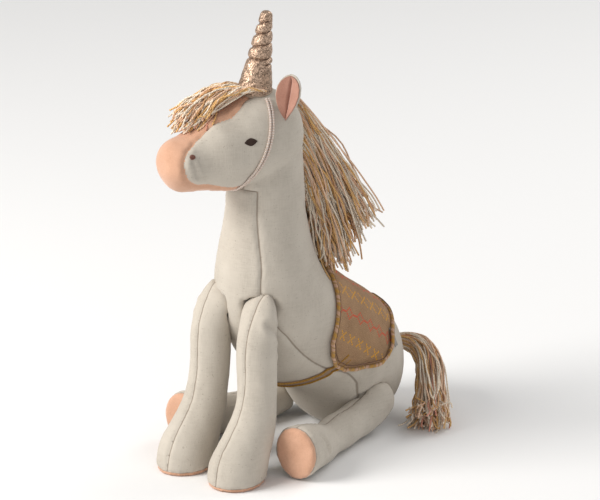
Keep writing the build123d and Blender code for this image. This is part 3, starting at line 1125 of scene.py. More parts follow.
@dataclass
class FrontLeg(StuffedSkin):
    """A front leg: outer and inner panel with a seam down its front, and a velour sole."""

    side: Side = Side.LEFT
    seam_x: float = 29 * MM
    sole_z: float = 3.2 * MM
    corner: tuple[float, float, float] = (31 * MM, -139 * MM, 177 * MM)
    corner_reach: float = 13 * MM
    corner_pull: float = 0.42
    hinge: tuple[float, float, float] = (27 * MM, -141 * MM, 157 * MM)
    inner_fill: float = 2.6 * MM
    folds: tuple[Crease, ...] = (
        Crease((46 * MM, -157 * MM, 152 * MM), (45 * MM, -136 * MM, 134 * MM), 2.6 * MM, 3.2 * MM),
        Crease((47 * MM, -143 * MM, 118 * MM), (45 * MM, -133 * MM, 122 * MM), 1.5 * MM, 2.6 * MM),
    )

    def __post_init__(self) -> None:
        """Puts the folds on the leg's own side."""
        self.creases = tuple(fold.on_side(self.side) for fold in self.folds)

    def seam_field(self, points: np.ndarray) -> np.ndarray:
        """Positive on the outer panel."""
        return points[:, 0] * self.side.value - self.seam_x

    def sole_field(self, points: np.ndarray) -> np.ndarray:
        """Negative on the sole."""
        return points[:, 2] - self.sole_z

    def seam_fields(self) -> list[Field]:
        """The leg's seam lines."""
        return [self.seam_field, self.sole_field]

    def seam_distance(self, points: np.ndarray) -> np.ndarray:
        """Distance from the nearest seam; the side seam stops at the sole.

        Args:
            points: Positions in metres, shape (n, 3).

        Returns:
            One distance per point, in metres.
        """
        sole = self.sole_field(points)
        side = np.where(sole > 0, np.abs(self.seam_field(points)), 1.0)
        return np.minimum(side, np.abs(sole))

    def panel_of(self, points: np.ndarray) -> np.ndarray:
        """0 outer, 1 inner, 2 sole."""
        owner = np.where(self.seam_field(points) > 0, 0, 1)
        return np.where(self.sole_field(points) < 0, 2, owner)

    def shape(self, points: np.ndarray, normals: np.ndarray) -> np.ndarray:
        """Draws the sewn top out to a corner and keeps the sole on the floor.

        Args:
            points: Positions in metres, shape (n, 3).
            normals: Vertex normals, shape (n, 3); not used.

        Returns:
            The moved positions.
        """
        corner = np.array(self.corner) * (self.side.value, 1, 1)
        away = corner - points
        pull = self.corner_pull * np.exp(-((np.linalg.norm(away, axis=1) / self.corner_reach) ** 2))
        points = points + away * pull[:, None]
        near = np.exp(-((np.linalg.norm(points[:, 1:] - np.array(self.hinge)[1:], axis=1) / (12 * MM)) ** 2))
        inward = smooth_step((self.hinge[0] - points[:, 0] * self.side.value) / (9 * MM))
        points[:, 0] -= self.side.value * self.inner_fill * near * inward
        points[:, 2] = np.maximum(points[:, 2], 0.2 * MM)
        return points

    def kind(self) -> str:
        """Front or hind, as in the CAD nodes' names."""
        return "front"

    def build(self, linen: bpy.types.Material, peach: bpy.types.Material) -> None:
        """Makes the three panels and ties them to the leg.

        Args:
            linen: The linen finish.
            peach: The peach velour finish.
        """
        word = f"{self.side.word}_{self.kind()}"
        names = (f"{word}_leg_outer_skin", f"{word}_leg_inner_skin", f"{word}_sole_velour")
        outer, inner, sole = self.panels(names, (linen, linen, peach))
        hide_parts(f"{word}_leg_outer", f"{word}_leg_stuffing")
        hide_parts(f"{word}_leg_inner")
        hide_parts(f"{word}_sole")
        for piece, slot in ((outer, "linen"), (inner, "linen"), (sole, "peach_velour")):
            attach(piece, f"{word}_leg")


@dataclass
class HindLeg(FrontLeg):
    """A hind leg lying forward, with its seam along the top and its sole facing forward."""

    corner: tuple[float, float, float] = (53 * MM, 12 * MM, 46 * MM)
    hinge: tuple[float, float, float] = (49 * MM, -4 * MM, 29 * MM)
    inner_fill: float = 0.0
    folds: tuple[Crease, ...] = (
        Crease((82 * MM, -121 * MM, 44 * MM), (88 * MM, -113 * MM, 18 * MM), 1.7 * MM, 2.2 * MM),
        Crease((78 * MM, -92 * MM, 38 * MM), (80 * MM, -90 * MM, 24 * MM), 1.3 * MM, 2.0 * MM),
        Crease((66 * MM, -20 * MM, 34 * MM), (60 * MM, -34 * MM, 36 * MM), 1.2 * MM, 2.4 * MM),
    )
    sole_centre: tuple[float, float, float] = (68 * MM, -147 * MM, 25.8 * MM)
    sole_facing: tuple[float, float, float] = (0.12, -0.99, 0.03)
    sole_depth: float = 4.6 * MM

    def kind(self) -> str:
        """Front or hind, as in the CAD nodes' names."""
        return "hind"

    def seam_field(self, points: np.ndarray) -> np.ndarray:
        """Positive on the outer panel.

        Args:
            points: Positions in metres, shape (n, 3).

        Returns:
            One signed value per point.
        """
        along = np.array([-160, -147, -97, -60, -22, 20]) * MM
        middle = np.array([68.5, 68, 60, 52, 48.5, 50]) * MM
        return points[:, 0] * self.side.value - np.interp(points[:, 1], along, middle)

    def sole_field(self, points: np.ndarray) -> np.ndarray:
        """Negative on the sole.

        Args:
            points: Positions in metres, shape (n, 3).

        Returns:
            One signed value per point.
        """
        centre = np.array(self.sole_centre) * (self.side.value, 1, 1)
        facing = np.array(self.sole_facing) * (self.side.value, 1, 1)
        return -self.sole_depth - (points - centre) @ facing


# ---- trimmings that lie on the skin ---------------------------------------------------------------------
@dataclass
class Surfaces:
    """Search trees of the finished skins, for laying trimmings on them."""

    body: BVHTree = field(default_factory=lambda: BVHTree.FromPolygons([], []))

    def read(self, names: Sequence[str]) -> None:
        """Builds the tree from some finished pieces.

        Args:
            names: The finished pieces to read.
        """
        verts: list[Vector] = []
        faces: list[tuple[int, ...]] = []
        for name in names:
            mesh = bpy.data.objects[name].data
            start = len(verts)
            verts.extend(v.co.copy() for v in mesh.vertices)
            faces.extend(tuple(start + i for i in p.vertices) for p in mesh.polygons)
        self.body = BVHTree.FromPolygons(verts, faces)

    def clear_of(self, point: Vector, gap: float) -> Vector:
        """The point, moved out of the skin if it lies in it or nearer than a gap.

        Args:
            point: Where the point is now.
            gap: The clearance to keep, in metres.

        Returns:
            The point, or the moved point.
        """
        near, normal, _, _ = self.body.find_nearest(point)
        if near is None or (point - near).dot(normal) > gap:
            return point
        return near + normal * gap


@dataclass
class Stitches:
    """A filled patch of satin stitches: parallel threads that cross a lozenge or a round patch."""

    name: str
    centre: tuple[float, float, float]
    half_length: float
    half_height: float
    pointed: float
    thread: float = 0.34 * MM
    rise: float = 0.5 * MM
    lean: float = 0.25

    def build(self, skin: Surfaces, side: Side, tint: Colour,
              material: bpy.types.Material) -> bpy.types.Object:
        """Lays the threads on one side of the head.

        Args:
            skin: Surfaces that the threads lie on.
            side: Which side of the head.
            tint: The thread's colour.
            material: The thread's finish.

        Returns:
            The stitches in one piece.
        """
        x, y, z = self.centre
        start = Vector(to_head([(x * side.value, y, z)])[0])
        near, normal, _, _ = skin.body.find_nearest(start)
        ahead = Vector(to_head([(0, NECK_Y - 1, 0)])[0] - to_head([(0, NECK_Y, 0)])[0])
        ahead = (ahead - normal * ahead.dot(normal)).normalized()
        up = normal.cross(ahead) if normal.cross(ahead).z > 0 else ahead.cross(normal)
        lines = TubeLines(f"{side.word}_{self.name}", self.thread, 5)
        count = round(self.half_length / self.thread / 0.75)
        for i in range(-count, count + 1):
            share = i / (count + 0.5)
            reach = self.half_height * (1 - abs(share) ** 1.6) ** self.pointed
            line = []
            for k in range(7):
                height = (k / 3 - 1)
                place = near + ahead * (share * self.half_length + self.lean * height
                                        * self.thread) + up * reach * height
                hit, out, _, _ = skin.body.find_nearest(place)
                line.append(hit + out * (self.rise * (1 - 0.75 * height**2) + self.thread * 0.4))
            lines.add(line, tint)
        return lines.build(material)


@dataclass
class HeadTrim:
    """Eyes, nostrils and the elastic that holds the horn on."""

    skin: Surfaces
    elastic_top: tuple[float, float] = (NECK_Y - 8 * MM, 357 * MM)
    elastic_chin: tuple[float, float] = (NECK_Y - 41 * MM, 267 * MM)
    cord_radius: float = 1.3 * MM
    bow: float = 2.0 * MM
    start_angle: float = math.radians(24)

    def eyes(self, material: bpy.types.Material) -> None:
        """Sews the eyes and nostrils.

        Args:
            material: The embroidery thread.
        """
        eye = Stitches("eye_stitches", (36 * MM, NECK_Y - 38 * MM, 319.5 * MM), 5.9 * MM, 3.5 * MM, 0.9)
        nostril = Stitches("nostril_stitches", (20.5 * MM, NECK_Y - 91 * MM, 310 * MM), 2.5 * MM, 2.5 * MM,
                           0.5)
        for side in Side:
            made = eye.build(self.skin, side, (0.035, 0.014, 0.010), material)
            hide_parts(f"{side.word}_eye")
            other = nostril.build(self.skin, side, (0.22, 0.085, 0.06), material)
            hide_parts(f"{side.word}_nostril")
            for piece in (made, other):
                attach(piece, "head")
        LOG.info("eyes and nostrils sewn")

    def elastic(self, material: bpy.types.Material) -> None:
        """Runs the doubled elastic from the horn's base round the cheeks and under the chin.

        Args:
            material: The metallic cord.
        """
        low, high = Vector((0, *self.elastic_chin)), Vector((0, *self.elastic_top))
        up = (high - low).normalized()
        across = up.cross(Vector((1, 0, 0)))
        centre = low.lerp(high, 0.48)
        lines = TubeLines("horn_elastic_cords", self.cord_radius, 8)
        steps = 96
        for strand in (-1, 1):
            line = []
            for i in range(steps + 1):
                angle = self.start_angle + (2 * math.pi - 2 * self.start_angle) * i / steps
                bow = self.bow * math.sin(angle) ** 2
                origin = centre + across * (strand * self.cord_radius * 1.02 + bow)
                direction = up * math.cos(angle) + Vector((1, 0, 0)) * math.sin(angle)
                base, out = (Vector(p) for p in to_head([origin, origin + direction]))
                hit, normal = surface_point(self.skin.body, base, (out - base).normalized(), 0.09)
                line.append(hit + normal * self.cord_radius * 0.95)
            lines.add(relaxed(line, 3), (0.6, 0.5, 0.42))
        made = lines.build(material)
        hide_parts("horn_elastic")
        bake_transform(made)


def relaxed(line: list[Vector], rounds: int) -> list[Vector]:
    """A line with its kinks averaged out, its ends kept.

    Args:
        line: The points of the line, in order.
        rounds: How often it is averaged.

    Returns:
        The new line.
    """
    for _ in range(rounds):
        line = [line[0]] + [(a + b * 2 + c) / 4 for a, b, c in zip(line, line[1:], line[2:])] + [line[-1]]
    return line


@dataclass
class Horn:
    """A stuffed cone of glitter cloth, drawn in by a thread wound up it, on a felt base."""

    skin: Surfaces
    base: tuple[float, float, float] = (0.0, NECK_Y - 11.5 * MM, 352.5 * MM)
    lean: float = math.radians(10.5)
    radius: float = 15.4 * MM
    tip_radius: float = 4.7 * MM
    length: float = 76.5 * MM
    pinch: float = 1.7 * MM
    thread_heights: tuple[float, ...] = (27.5, 32.5, 46, 57, 67)
    rings: int = 150
    segments: int = 72

    def __post_init__(self) -> None:
        """Works out the horn's own directions in the turned head."""
        down, up = to_head([self.base, np.array(self.base) + (0, math.sin(self.lean), math.cos(self.lean))])
        self.root = Vector(down)
        self.up = Vector(up - down).normalized()
        self.right = Vector((math.cos(HEAD_TURN), math.sin(HEAD_TURN), 0))
        self.ahead = self.up.cross(self.right)

    def point(self, angle: float, radius: float, height: float) -> Vector:
        """A point round the horn's axis."""
        around = self.right * math.cos(angle) + self.ahead * math.sin(angle)
        return self.root + around * radius + self.up * height

    def thread_height(self, turns: float) -> float:
        """Height of the winding thread after a number of turns."""
        return float(np.interp(turns, range(len(self.thread_heights)), self.thread_heights)) * MM

    def cone(self, height: float) -> float:
        """Radius of the plain cone, closing in a round tip.

        Args:
            height: Height above the base, in metres.

        Returns:
            The radius, in metres.
        """
        share = max(height, 0) / self.length
        plain = self.radius + (self.tip_radius - self.radius) * share
        over = (height - (self.length - self.tip_radius)) / self.tip_radius
        return plain * math.sqrt(max(1 - max(over, 0) ** 2.4, 0))

    def outline(self, angle: float, height: float) -> float:
        """Radius of the pinched horn at an angle and height.

        Args:
            angle: Angle round the axis, in radians.
            height: Height above the base, in metres.

        Returns:
            The radius, in metres.
        """
        start = angle / (2 * math.pi)
        levels = [self.thread_height(start + k) for k in range(len(self.thread_heights) - 1)]
        levels = [-12 * MM] + levels + [self.length + 6 * MM]
        gap = min(abs(height - level) for level in levels[1:-1])
        above = min((level for level in levels if level > height), default=levels[-1])
        below = max((level for level in levels if level <= height), default=levels[0])
        share = (height - below) / (above - below)
        swell = 0.9 * MM * math.sin(math.pi * share)
        squeeze = self.pinch * math.exp(-((gap / (1.25 * MM)) ** 2))
        return max(self.cone(height) * (1 + swell / self.radius) - squeeze
                   * min(1, self.cone(height) / (5 * MM)), 0)

    def foot(self, angle: float, radius: float) -> float:
        """Height at which the head's skin lies under a point of the base.

        Args:
            angle: Angle round the axis, in radians.
            radius: Distance from the horn's axis, in metres.

        Returns:
            The height, in metres.
        """
        start = self.point(angle, radius, 40 * MM)
        hit, _, _, _ = self.skin.body.ray_cast(start, -self.up, 0.1)
        return (hit - self.root).dot(self.up) if hit is not None else -4 * MM

    def cover(self, material: bpy.types.Material) -> bpy.types.Object:
        """The glitter cloth cone.

        Args:
            material: The finish it is given.

        Returns:
            The cover's object.
        """
        bm = bmesh.new()
        grid = []
        feet = [self.foot(2 * math.pi * j / self.segments, self.radius) + 1.4 * MM
                for j in range(self.segments)]
        for i in range(self.rings):
            share = i / self.rings
            ring = []
            for j in range(self.segments):
                angle = 2 * math.pi * j / self.segments
                height = feet[j] + (self.length - feet[j]) * share
                radius = self.outline(angle, height)
                thin = min(1, radius / (6 * MM))
                wrinkle = 0.16 * MM * math.sin(angle * 9 + 3 * math.sin(height * 300)) * thin
                ring.append(bm.verts.new(self.point(angle, radius + wrinkle, height)))
            grid.append(ring)
        for low, high in zip(grid, grid[1:]):
            for j in range(self.segments):
                k = (j + 1) % self.segments
                bm.faces.new((low[j], low[k], high[k], high[j]))
        top = bm.verts.new(self.point(0, 0, self.length))
        bottom = bm.verts.new(self.point(0, 0, min(feet)))
        for j in range(self.segments):
            k = (j + 1) % self.segments
            bm.faces.new((grid[-1][j], grid[-1][k], top))
            bm.faces.new((grid[0][k], grid[0][j], bottom))
        bmesh.ops.recalc_face_normals(bm, faces=bm.faces)
        mesh = bpy.data.meshes.new("horn_glitter_cloth")
        bm.to_mesh(mesh)
        bm.free()
        return add_object("horn_glitter_cloth", mesh, material)

    def build(self, glitter: bpy.types.Material, thread: bpy.types.Material,
              felt: bpy.types.Material) -> None:
        """Makes the cover, its winding thread and the felt base.

        Args:
            glitter: The glitter cloth.
            thread: The winding thread.
            felt: The base's felt.
        """
        cover = self.cover(glitter)
        winding = TubeLines("horn_winding_thread", 0.42 * MM, 6)
        turns = len(self.thread_heights) - 1
        line = []
        for i in range(turns * 48 + 1):
            angle = 2 * math.pi * i / 48
            height = self.thread_height(angle / (2 * math.pi))
            line.append(self.point(angle, self.outline(angle % (2 * math.pi), height) + 0.1 * MM, height))
        winding.add(line, (0.16, 0.09, 0.06))
        wound = winding.build(thread)
        rim = TubeLines("horn_felt_rim", 1.0 * MM, 8, closed=True)
        ring = []
        for i in range(72):
            angle = 2 * math.pi * i / 72
            ring.append(self.point(angle, self.radius - 0.1 * MM, self.foot(angle, self.radius) + 1.0 * MM))
        rim.add(ring, (0.4, 0.3, 0.2))
        base = rim.build(felt)
        for piece, nodes, slot in (
            (cover, ("horn_cover", "horn_stuffing"), "horn_metallic_fabric"),
            (wound, ("horn_thread",), "winding_thread"),
            (base, ("horn_base",), "base_felt"),
        ):
            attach(piece, "horn")
            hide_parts(*nodes)
        LOG.info("horn wound")


@dataclass
class Ear:
    """A leaf-shaped ear: cloth behind, velour in front, folded in along its middle."""

    side: Side
    root: tuple[float, float, float] = (33.0 * MM, NECK_Y + 1 * MM, 331.5 * MM)
    length: float = 43.5 * MM
    width: float = 25.0 * MM
    facing: float = math.radians(30)
    cup: float = 4.2 * MM
    fold: float = 2.6 * MM
    columns: int = 28
    rows: int = 40

    def half_width(self, height: float) -> float:
        """Share of the full half width at a share of the height."""
        return float(np.interp(height, (0, 0.06, 0.14, 0.25, 0.4, 0.58, 0.75, 0.87, 0.95, 0.985, 1),
                               (0.03, 0.17, 0.36, 0.60, 0.84, 1.0, 0.95, 0.76, 0.48, 0.27, 0.04)))

    def leaf(self, name: str, shrink: float, ahead: float, thickness: float,
             material: bpy.types.Material) -> bpy.types.Object:
        """One layer of the ear.

        Args:
            name: The piece's name.
            shrink: Size against the outer leaf.
            ahead: How far the layer stands in front of the ear's middle.
            thickness: The layer's thickness.
            material: Its finish.

        Returns:
            The layer as a closed piece.
        """
        s = self.side.value
        right = Vector((math.cos(self.facing), s * math.sin(self.facing), 0))
        front = Vector((s * math.sin(self.facing), -math.cos(self.facing), 0))
        bm = bmesh.new()
        grid = []
        for i in range(self.rows + 1):
            height = 0.5 + (i / self.rows - 0.5) * shrink
            row = []
            for j in range(self.columns + 1):
                u = 2 * j / self.columns - 1
                half = self.half_width(i / self.rows) * self.width / 2 * shrink
                bend = 0.18 * (height - 0.5)
                out = self.cup * abs(u) ** 1.4 * math.sin(math.pi * min(height * 0.9 + 0.1, 1))
                short_of_tip = 1 - smooth_step(np.array((height - 0.8) / 0.2)).item()
                out -= self.fold * math.exp(-(((u - bend) / 0.13) ** 2)) * short_of_tip
                out += ahead + 2.5 * MM * (height - 0.3) ** 2
                place = Vector((self.root[0] * s, self.root[1], self.root[2])) + right * (u * half)
                place += Vector((0, 0.16, 1)) * (height * self.length) + front * out
                row.append(bm.verts.new(Vector(to_head([place])[0])))
            grid.append(row)
        for low, high in zip(grid, grid[1:]):
            for j in range(self.columns):
                bm.faces.new((low[j], low[j + 1], high[j + 1], high[j]))
        bmesh.ops.recalc_face_normals(bm, faces=bm.faces)
        mesh = bpy.data.meshes.new(name)
        bm.to_mesh(mesh)
        bm.free()
        made = add_object(name, mesh, material)
        wall = made.modifiers.new("wall", "SOLIDIFY")
        wall.thickness = thickness
        wall.offset = 0
        made.data.shade_smooth()
        return applied(made)

    def build(self, linen: bpy.types.Material, velour: bpy.types.Material) -> None:
        """Makes both layers.

        Args:
            linen: The linen finish.
            velour: The lining's velour.
        """
        word = self.side.word
        back = self.leaf(f"{word}_ear_cloth", 1.0, -0.6 * MM, 1.3 * MM, linen)
        lining = self.leaf(f"{word}_ear_velour", 0.93, 0.55 * MM, 1.1 * MM, velour)
        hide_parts(f"{word}_ear_back")
        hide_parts(f"{word}_ear_lining")
        for piece, slot in ((back, "linen"), (lining, "ear_lining_velour")):
            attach(piece, f"{word}_ear")
        LOG.info("%s ear", word)


# ---- yarn hair -------------------------------------------------------------------------------------------
YARN_TINTS: tuple[tuple[Colour, float], ...] = (
    ((0.88, 0.75, 0.59), 0.44),
    ((0.74, 0.40, 0.10), 0.24),
    ((0.82, 0.52, 0.33), 0.22),
    ((0.58, 0.28, 0.08), 0.07),
    ((0.68, 0.25, 0.15), 0.03),
)


def bezier(p: Sequence[Vector], t: float) -> Vector:
    """A point of a cubic curve through its four controls."""
    u = 1 - t
    return p[0] * u**3 + p[1] * (3 * u * u * t) + p[2] * (3 * u * t * t) + p[3] * t**3


@dataclass
class Hair:
    """Loose yarn strands in one piece, each with its own tint and waves."""

    name: str
    nodes: tuple[str, ...]
    body: str
    skin: Surfaces
    count: int
    seed: int
    radius: float = 0.82 * MM
    points: int = 22
    wave: float = 3.3 * MM
    frizz: float = 0.0
    floor: float = 1.1 * MM

    def __post_init__(self) -> None:
        """Seeds the strands."""
        self.random = random.Random(self.seed)

    def tint(self) -> Colour:
        """A strand's colour, a little lighter or darker than its dye lot.

        Returns:
            The colour.
        """
        colour = self.random.choices([c for c, _ in YARN_TINTS], [w for _, w in YARN_TINTS])[0]
        shade = self.random.uniform(0.85, 1.15)
        return tuple(min(c * shade, 1.0) for c in colour)

    def strand(self, index: int) -> list[Vector]:
        """The middle line of one strand before its waves."""
        raise NotImplementedError

    def waved(self, line: list[Vector]) -> list[Vector]:
        """The line with waves that grow towards its loose end.

        Args:
            line: The points of the line, in order.

        Returns:
            The waved line.
        """
        r = self.random
        phases = [r.uniform(0, 6.28) for _ in range(6)]
        rates = [r.uniform(1.0, 2.6), r.uniform(2.5, 5.5)]
        size = self.wave * r.uniform(0.35, 1.25)
        made = []
        for i, point in enumerate(line):
            t = i / (len(line) - 1)
            grow = min(t * 3, 1) * (0.5 + t)
            shift = Vector([math.sin(6.28 * rates[0] * t + phases[a]) + 0.35
                            * math.sin(6.28 * rates[1] * t + phases[a + 3])
                            for a in range(3)])
            loose = 1 + self.frizz * float(smooth_step(np.array((t - 0.72) / 0.28)))
            moved = self.skin.clear_of(point + shift * size * grow * 0.7 * loose, self.radius * 1.1)
            moved.z = max(moved.z, self.floor)
            made.append(moved)
        return relaxed(made, 1)

    def build(self, material: bpy.types.Material) -> None:
        """Makes every strand.

        Args:
            material: The yarn finish.
        """
        lines = TubeLines(self.name, self.radius, 5)
        for index in range(self.count):
            lines.add(self.waved(self.strand(index)), self.tint())
        made = lines.build(material)
        self.attach(made)
        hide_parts(*self.nodes)
        LOG.info("%s: %d strands", self.name, self.count)

    def attach(self, made: bpy.types.Object) -> None:
        """Fastens the strands to their body."""
        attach(made, self.body)


@dataclass
class Mane(Hair):
    """Yarn sewn into the back seam of the neck, falling back and to both sides."""

    seam: tuple[tuple[float, float], ...] = ((20, 355), (30, 338), (33.5, 308), (35, 278), (36.5, 254))

    def strand(self, index: int) -> list[Vector]:
        """One strand from the neck's seam to its loose end.

        Args:
            index: The strand's number; not used.

        Returns:
            The line.
        """
        r = self.random
        down = r.random()
        seam = np.array(self.seam)
        where = down * (len(seam) - 1)
        y = np.interp(where, range(len(seam)), seam[:, 0])
        z = np.interp(where, range(len(seam)), seam[:, 1])
        side = r.choice((-1, 1))
        spread = r.random()
        root = Vector((side * r.uniform(0.2, 3.5), y, z))
        dip = float(smooth_step(np.array(down / 0.65)))
        tip = Vector((side * (3 + 25 * spread) * (0.65 + 0.35 * (1 - down)), 116 - 66 * down**0.85,
                      214 - 40 * dip + (16 if down > 0.85 else 0)))
        tip += Vector((r.uniform(-3, 3), r.uniform(-8, 5), r.uniform(-11, 14)))
        lift = 1 - down
        first = root + Vector((side * (2 + 9 * spread), 8 + 8 * lift, -6 - 11 * lift))
        second = root.lerp(tip, 0.62) + Vector((side * 4 * spread, 1 + lift, 2 + 3 * lift))
        controls = [Vector(p) * MM + Vector((0, NECK_Y, 0)) for p in (root, first, second, tip)]
        line = [bezier(controls, i / (self.points - 1)) for i in range(self.points)]
        return [Vector(p) for p in to_head(line)]


@dataclass
class Forelock(Hair):
    """Yarn from round the horn's foot, combed forward over the right side of the face."""

    sewn_until: tuple[float, float, float] = (-1 * MM, NECK_Y - 24 * MM, 357 * MM)
    loose_from: tuple[float, float, float] = (-8 * MM, NECK_Y - 52 * MM, 351 * MM)

    def attach(self, made: bpy.types.Object) -> None:
        """Bakes the strands where they lie; they are tied to no body."""
        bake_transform(made)

    def strand(self, index: int) -> list[Vector]:
        """One strand from the horn's foot to its loose end.

        Args:
            index: The strand's number; not used.

        Returns:
            The line.
        """
        r = self.random
        share = r.random()
        angle = math.radians(10 - 165 * share)
        root = Vector((16.6 * math.cos(angle), -11.5 + 16.6 * math.sin(angle),
                       357.0 + 3 * math.sin(math.pi * share)))
        fan = r.random()
        tip = Vector((11 - 42 * fan, -60 - 26 * math.sin(math.pi * min(fan + 0.12, 1) * 0.75), 334 - 6 * fan))
        tip += Vector((r.uniform(-3, 3), r.uniform(-7, 9), r.uniform(-7, 12)))
        first = root + Vector((-6 * share - 2, -9, 6.5 + 2 * r.random()))
        second = tip.lerp(root, 0.4) + Vector((-3, -4, 9 + 5 * r.random()))
        controls = [Vector(p) * MM + Vector((0, NECK_Y, 0)) for p in (root, first, second, tip)]
        line = [bezier(controls, i / (self.points - 1)) for i in range(self.points)]
        return [Vector(p) for p in to_head(line)]


@dataclass
class Tail(Hair):
    """A hank of yarn from the rump that curls round to the left and rests on the floor."""

    path: tuple[tuple[float, float, float], ...] = (
        (2, 70, 58), (14, 82, 59), (34, 87, 55), (54, 74, 45), (69, 57, 30), (80, 42, 16), (88, 30, 6))
    spread: tuple[float, ...] = (2.5, 6.5, 11, 12.5, 13, 15, 18)

    def strand(self, index: int) -> list[Vector]:
        """One strand along the hank.

        Args:
            index: The strand's number; not used.

        Returns:
            The line.
        """
        r = self.random
        angle = r.uniform(0, 6.28)
        reach = math.sqrt(r.random())
        until = r.uniform(0.9, 1.04)
        path = np.array(self.path)
        line = []
        for i in range(self.points):
            t = min(i / (self.points - 1) * until, 1.06)
            place = np.array([np.interp(t * (len(path) - 1), range(len(path)), path[:, a]) for a in range(3)])
            ahead = np.array([np.interp(min(t + 0.1, 1.0) * (len(path) - 1), range(len(path)), path[:, a])
                              for a in range(3)]) - place
            if np.linalg.norm(ahead) < 1:
                ahead = path[-1] - path[-2]
            ahead = Vector(ahead).normalized()
            out = ahead.cross(Vector((0, 0, 1))).normalized()
            over = out.cross(ahead)
            size = reach * float(np.interp(t * (len(path) - 1), range(len(path)), self.spread))
            turn = angle + 1.2 * t
            extra = max(t - 1, 0) * 200
            point = Vector(place) + ahead * extra + (out * math.cos(turn) + over * math.sin(turn)) * size
            line.append(point * MM)
        return relaxed(line, 4)


